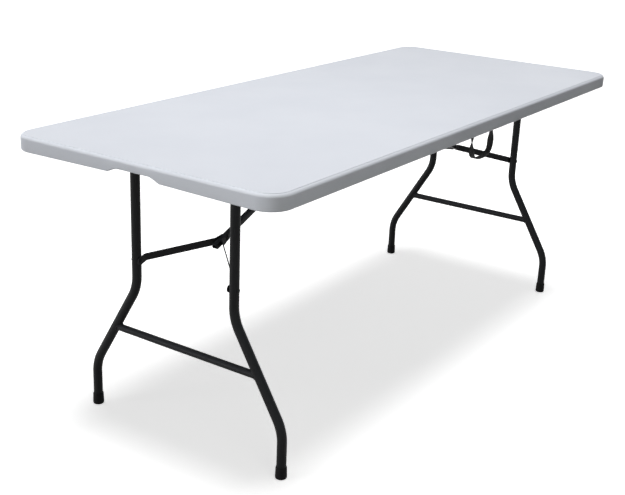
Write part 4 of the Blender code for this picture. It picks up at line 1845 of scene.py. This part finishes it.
@dataclass(frozen=True)
class PhotoCamera:
    """The camera at the photograph's viewing angle."""

    place: Point = (-2.5114, -1.5408, 1.3450)
    heading: float = math.radians(-56.144)
    dip: float = math.radians(19.727)
    roll: float = math.radians(2.275)
    lens: float = 61.587
    sensor: float = 36.0

    def build(self) -> None:
        """Adds the camera and makes it the scene's."""
        ahead = Vector(
            (
                -math.sin(self.heading) * math.cos(self.dip),
                math.cos(self.heading) * math.cos(self.dip),
                -math.sin(self.dip),
            )
        )
        level = Vector((math.cos(self.heading), math.sin(self.heading), 0.0))
        rise = level.cross(ahead)
        right = level * math.cos(self.roll) + rise * math.sin(self.roll)
        above = right.cross(ahead)
        turned = Matrix((right, above, -ahead)).transposed().to_4x4()
        deselect_all()
        bpy.ops.object.camera_add()
        camera = bpy.context.active_object
        camera.name = "photo_camera"
        camera.matrix_world = Matrix.Translation(self.place) @ turned
        camera.data.sensor_fit = "HORIZONTAL"
        camera.data.sensor_width = self.sensor
        camera.data.lens = self.lens
        bpy.context.scene.camera = camera


def add_lamp(name: str, kind: str, place: Point, back: Vector) -> Any:
    """Adds a lamp.

    Args:
        name: Its name.
        kind: AREA or SUN.
        place: Where it stands.
        back: The direction that its light comes from.

    Returns:
        The lamp's settings.
    """
    deselect_all()
    bpy.ops.object.light_add(type=kind, location=place)
    lamp = bpy.context.active_object
    lamp.name = name
    lamp.rotation_mode = "QUATERNION"
    lamp.rotation_quaternion = back.to_track_quat("Z", "Y")
    return lamp.data


@dataclass(frozen=True)
class SoftLamp:
    """A square softbox that stands off the object and aims at a point."""

    name: str
    place: Point
    aim: Point
    size: float
    power: float
    tint: Colour = (1.0, 1.0, 1.0)

    def build(self) -> None:
        """Adds the lamp."""
        lamp = add_lamp(self.name, "AREA", self.place, Vector(self.place) - Vector(self.aim))
        lamp.shape = "SQUARE"
        lamp.size = self.size
        lamp.energy = self.power
        lamp.color = self.tint


@dataclass(frozen=True)
class FarLamp:
    """A broad lamp so far away that its light is even over the whole object."""

    name: str
    toward: Point
    strength: float
    spread: float

    def build(self) -> None:
        """Adds the lamp."""
        lamp = add_lamp(self.name, "SUN", (0.0, 0.0, 3.0), Vector(self.toward))
        lamp.energy = self.strength
        lamp.angle = self.spread


@dataclass(frozen=True)
class Studio:
    """Plain soft studio light over a pale floor that fades to white."""

    sky: float = 0.08
    lamps: tuple[FarLamp | SoftLamp, ...] = (
        FarLamp("overhead_light", (0.0, 0.0, 1.0), 1.98, math.radians(24.0)),
        FarLamp("left_light", (-0.80, 0.60, -0.04), 3.3, math.radians(25.0)),
        SoftLamp("top_softbox", (-0.50, 0.0, 2.00), (-0.50, 0.0, 0.74), 1.4, 4.2),
        SoftLamp(
            "front_softbox", (-1.80, -2.10, 0.80), (-0.75, -0.38, 0.60), 1.0, 7.4, (1.0, 1.0, 0.94)
        ),
        SoftLamp("right_softbox", (2.50, 0.15, 0.45), (0.40, 0.0, 0.10), 0.8, 6.0),
    )
    floor_half: float = 60.0
    floor_bounce: float = 0.09
    floor_glow: float = 0.625
    floor_white: float = 1.0

    def build(self) -> None:
        """Adds the lamps, the sky and the floor."""
        bpy.context.scene.view_settings.view_transform = "Standard"
        for lamp in self.lamps:
            lamp.build()
        self.add_sky()
        self.add_floor()

    @staticmethod
    def add_shader(tree: bpy.types.NodeTree, kind: str, **values: Any) -> bpy.types.Node:
        """Adds a shader node and sets its inputs.

        Args:
            tree: The nodes that it joins.
            kind: The shader's type, without its prefix.
            values: Values of its inputs.

        Returns:
            The node.
        """
        node = tree.nodes.new(f"ShaderNode{kind}")
        for key, value in values.items():
            node.inputs[key].default_value = value
        return node

    def split_by_ray(self, tree: bpy.types.NodeTree, lit: Any, seen: Any, output: Any) -> None:
        """Shows one shader to rays of the camera, of gloss and through glass, and lights with another.

        Args:
            tree: The nodes.
            lit: Shader that the other rays meet.
            seen: Shader that is seen.
            output: Node that takes the mix.
        """
        path = tree.nodes.new("ShaderNodeLightPath")
        total = path.outputs["Is Camera Ray"]
        for name in ("Is Glossy Ray", "Is Transmission Ray"):
            node = tree.nodes.new("ShaderNodeMath")
            node.operation = "MAXIMUM"
            tree.links.new(total, node.inputs[0])
            tree.links.new(path.outputs[name], node.inputs[1])
            total = node.outputs["Value"]
        mix = tree.nodes.new("ShaderNodeMixShader")
        tree.links.new(total, mix.inputs["Fac"])
        tree.links.new(lit, mix.inputs[1])
        tree.links.new(seen, mix.inputs[2])
        tree.links.new(mix.outputs["Shader"], output.inputs["Surface"])

    def add_sky(self) -> None:
        """An even sky that lights softly and looks white."""
        world = bpy.data.worlds.new("studio_sky")
        bpy.context.scene.world = world
        world.use_nodes = True
        tree = world.node_tree
        tree.nodes.clear()
        white = (1.0, 1.0, 1.0, 1.0)
        light = self.add_shader(tree, "Background", Strength=self.sky, Color=white)
        shown = self.add_shader(tree, "Background", Strength=1.0, Color=white)
        output = tree.nodes.new("ShaderNodeOutputWorld")
        self.split_by_ray(tree, light.outputs["Background"], shown.outputs["Background"], output)

    def add_floor(self) -> None:
        """A wide floor that looks white, keeps the shadow and throws back a little light."""
        deselect_all()
        bpy.ops.mesh.primitive_plane_add(size=2 * self.floor_half, location=(0.0, 0.0, 0.0))
        floor = settle("studio_floor")
        made = bpy.data.materials.new("studio_floor")
        made.use_nodes = True
        tree = made.node_tree
        tree.nodes.clear()
        grey, white = ((tone, tone, tone, 1.0) for tone in (self.floor_bounce, self.floor_white))
        bounce = self.add_shader(tree, "BsdfDiffuse", Color=grey)
        shadowed = self.add_shader(tree, "BsdfDiffuse", Color=white)
        glow = self.add_shader(tree, "Emission", Strength=self.floor_glow)
        shown = tree.nodes.new("ShaderNodeAddShader")
        tree.links.new(shadowed.outputs["BSDF"], shown.inputs[0])
        tree.links.new(glow.outputs["Emission"], shown.inputs[1])
        output = tree.nodes.new("ShaderNodeOutputMaterial")
        self.split_by_ray(tree, bounce.outputs["BSDF"], shown.outputs["Shader"], output)
        floor.data.materials.append(made)


def main() -> None:
    """Builds the table on its frame and sets the stage."""
    logging.basicConfig(level=logging.INFO, format="%(name)s: %(message)s", stream=sys.stdout)
    shop = Workshop(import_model())
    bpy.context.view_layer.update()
    shop.stock(WhiteResin(), BlackPaint(), BlackRubber(), ZincSteel(), BlackWebbing())
    MouldedTop().install(shop)
    LegFrame().install(shop)
    Braces().install(shop)
    CarryStrap().install(shop)
    Fasteners().install(shop)
    shop.dress_shown_nodes()
    PhotoCamera().build()
    Studio().build()


if __name__ == "__main__":
    main()
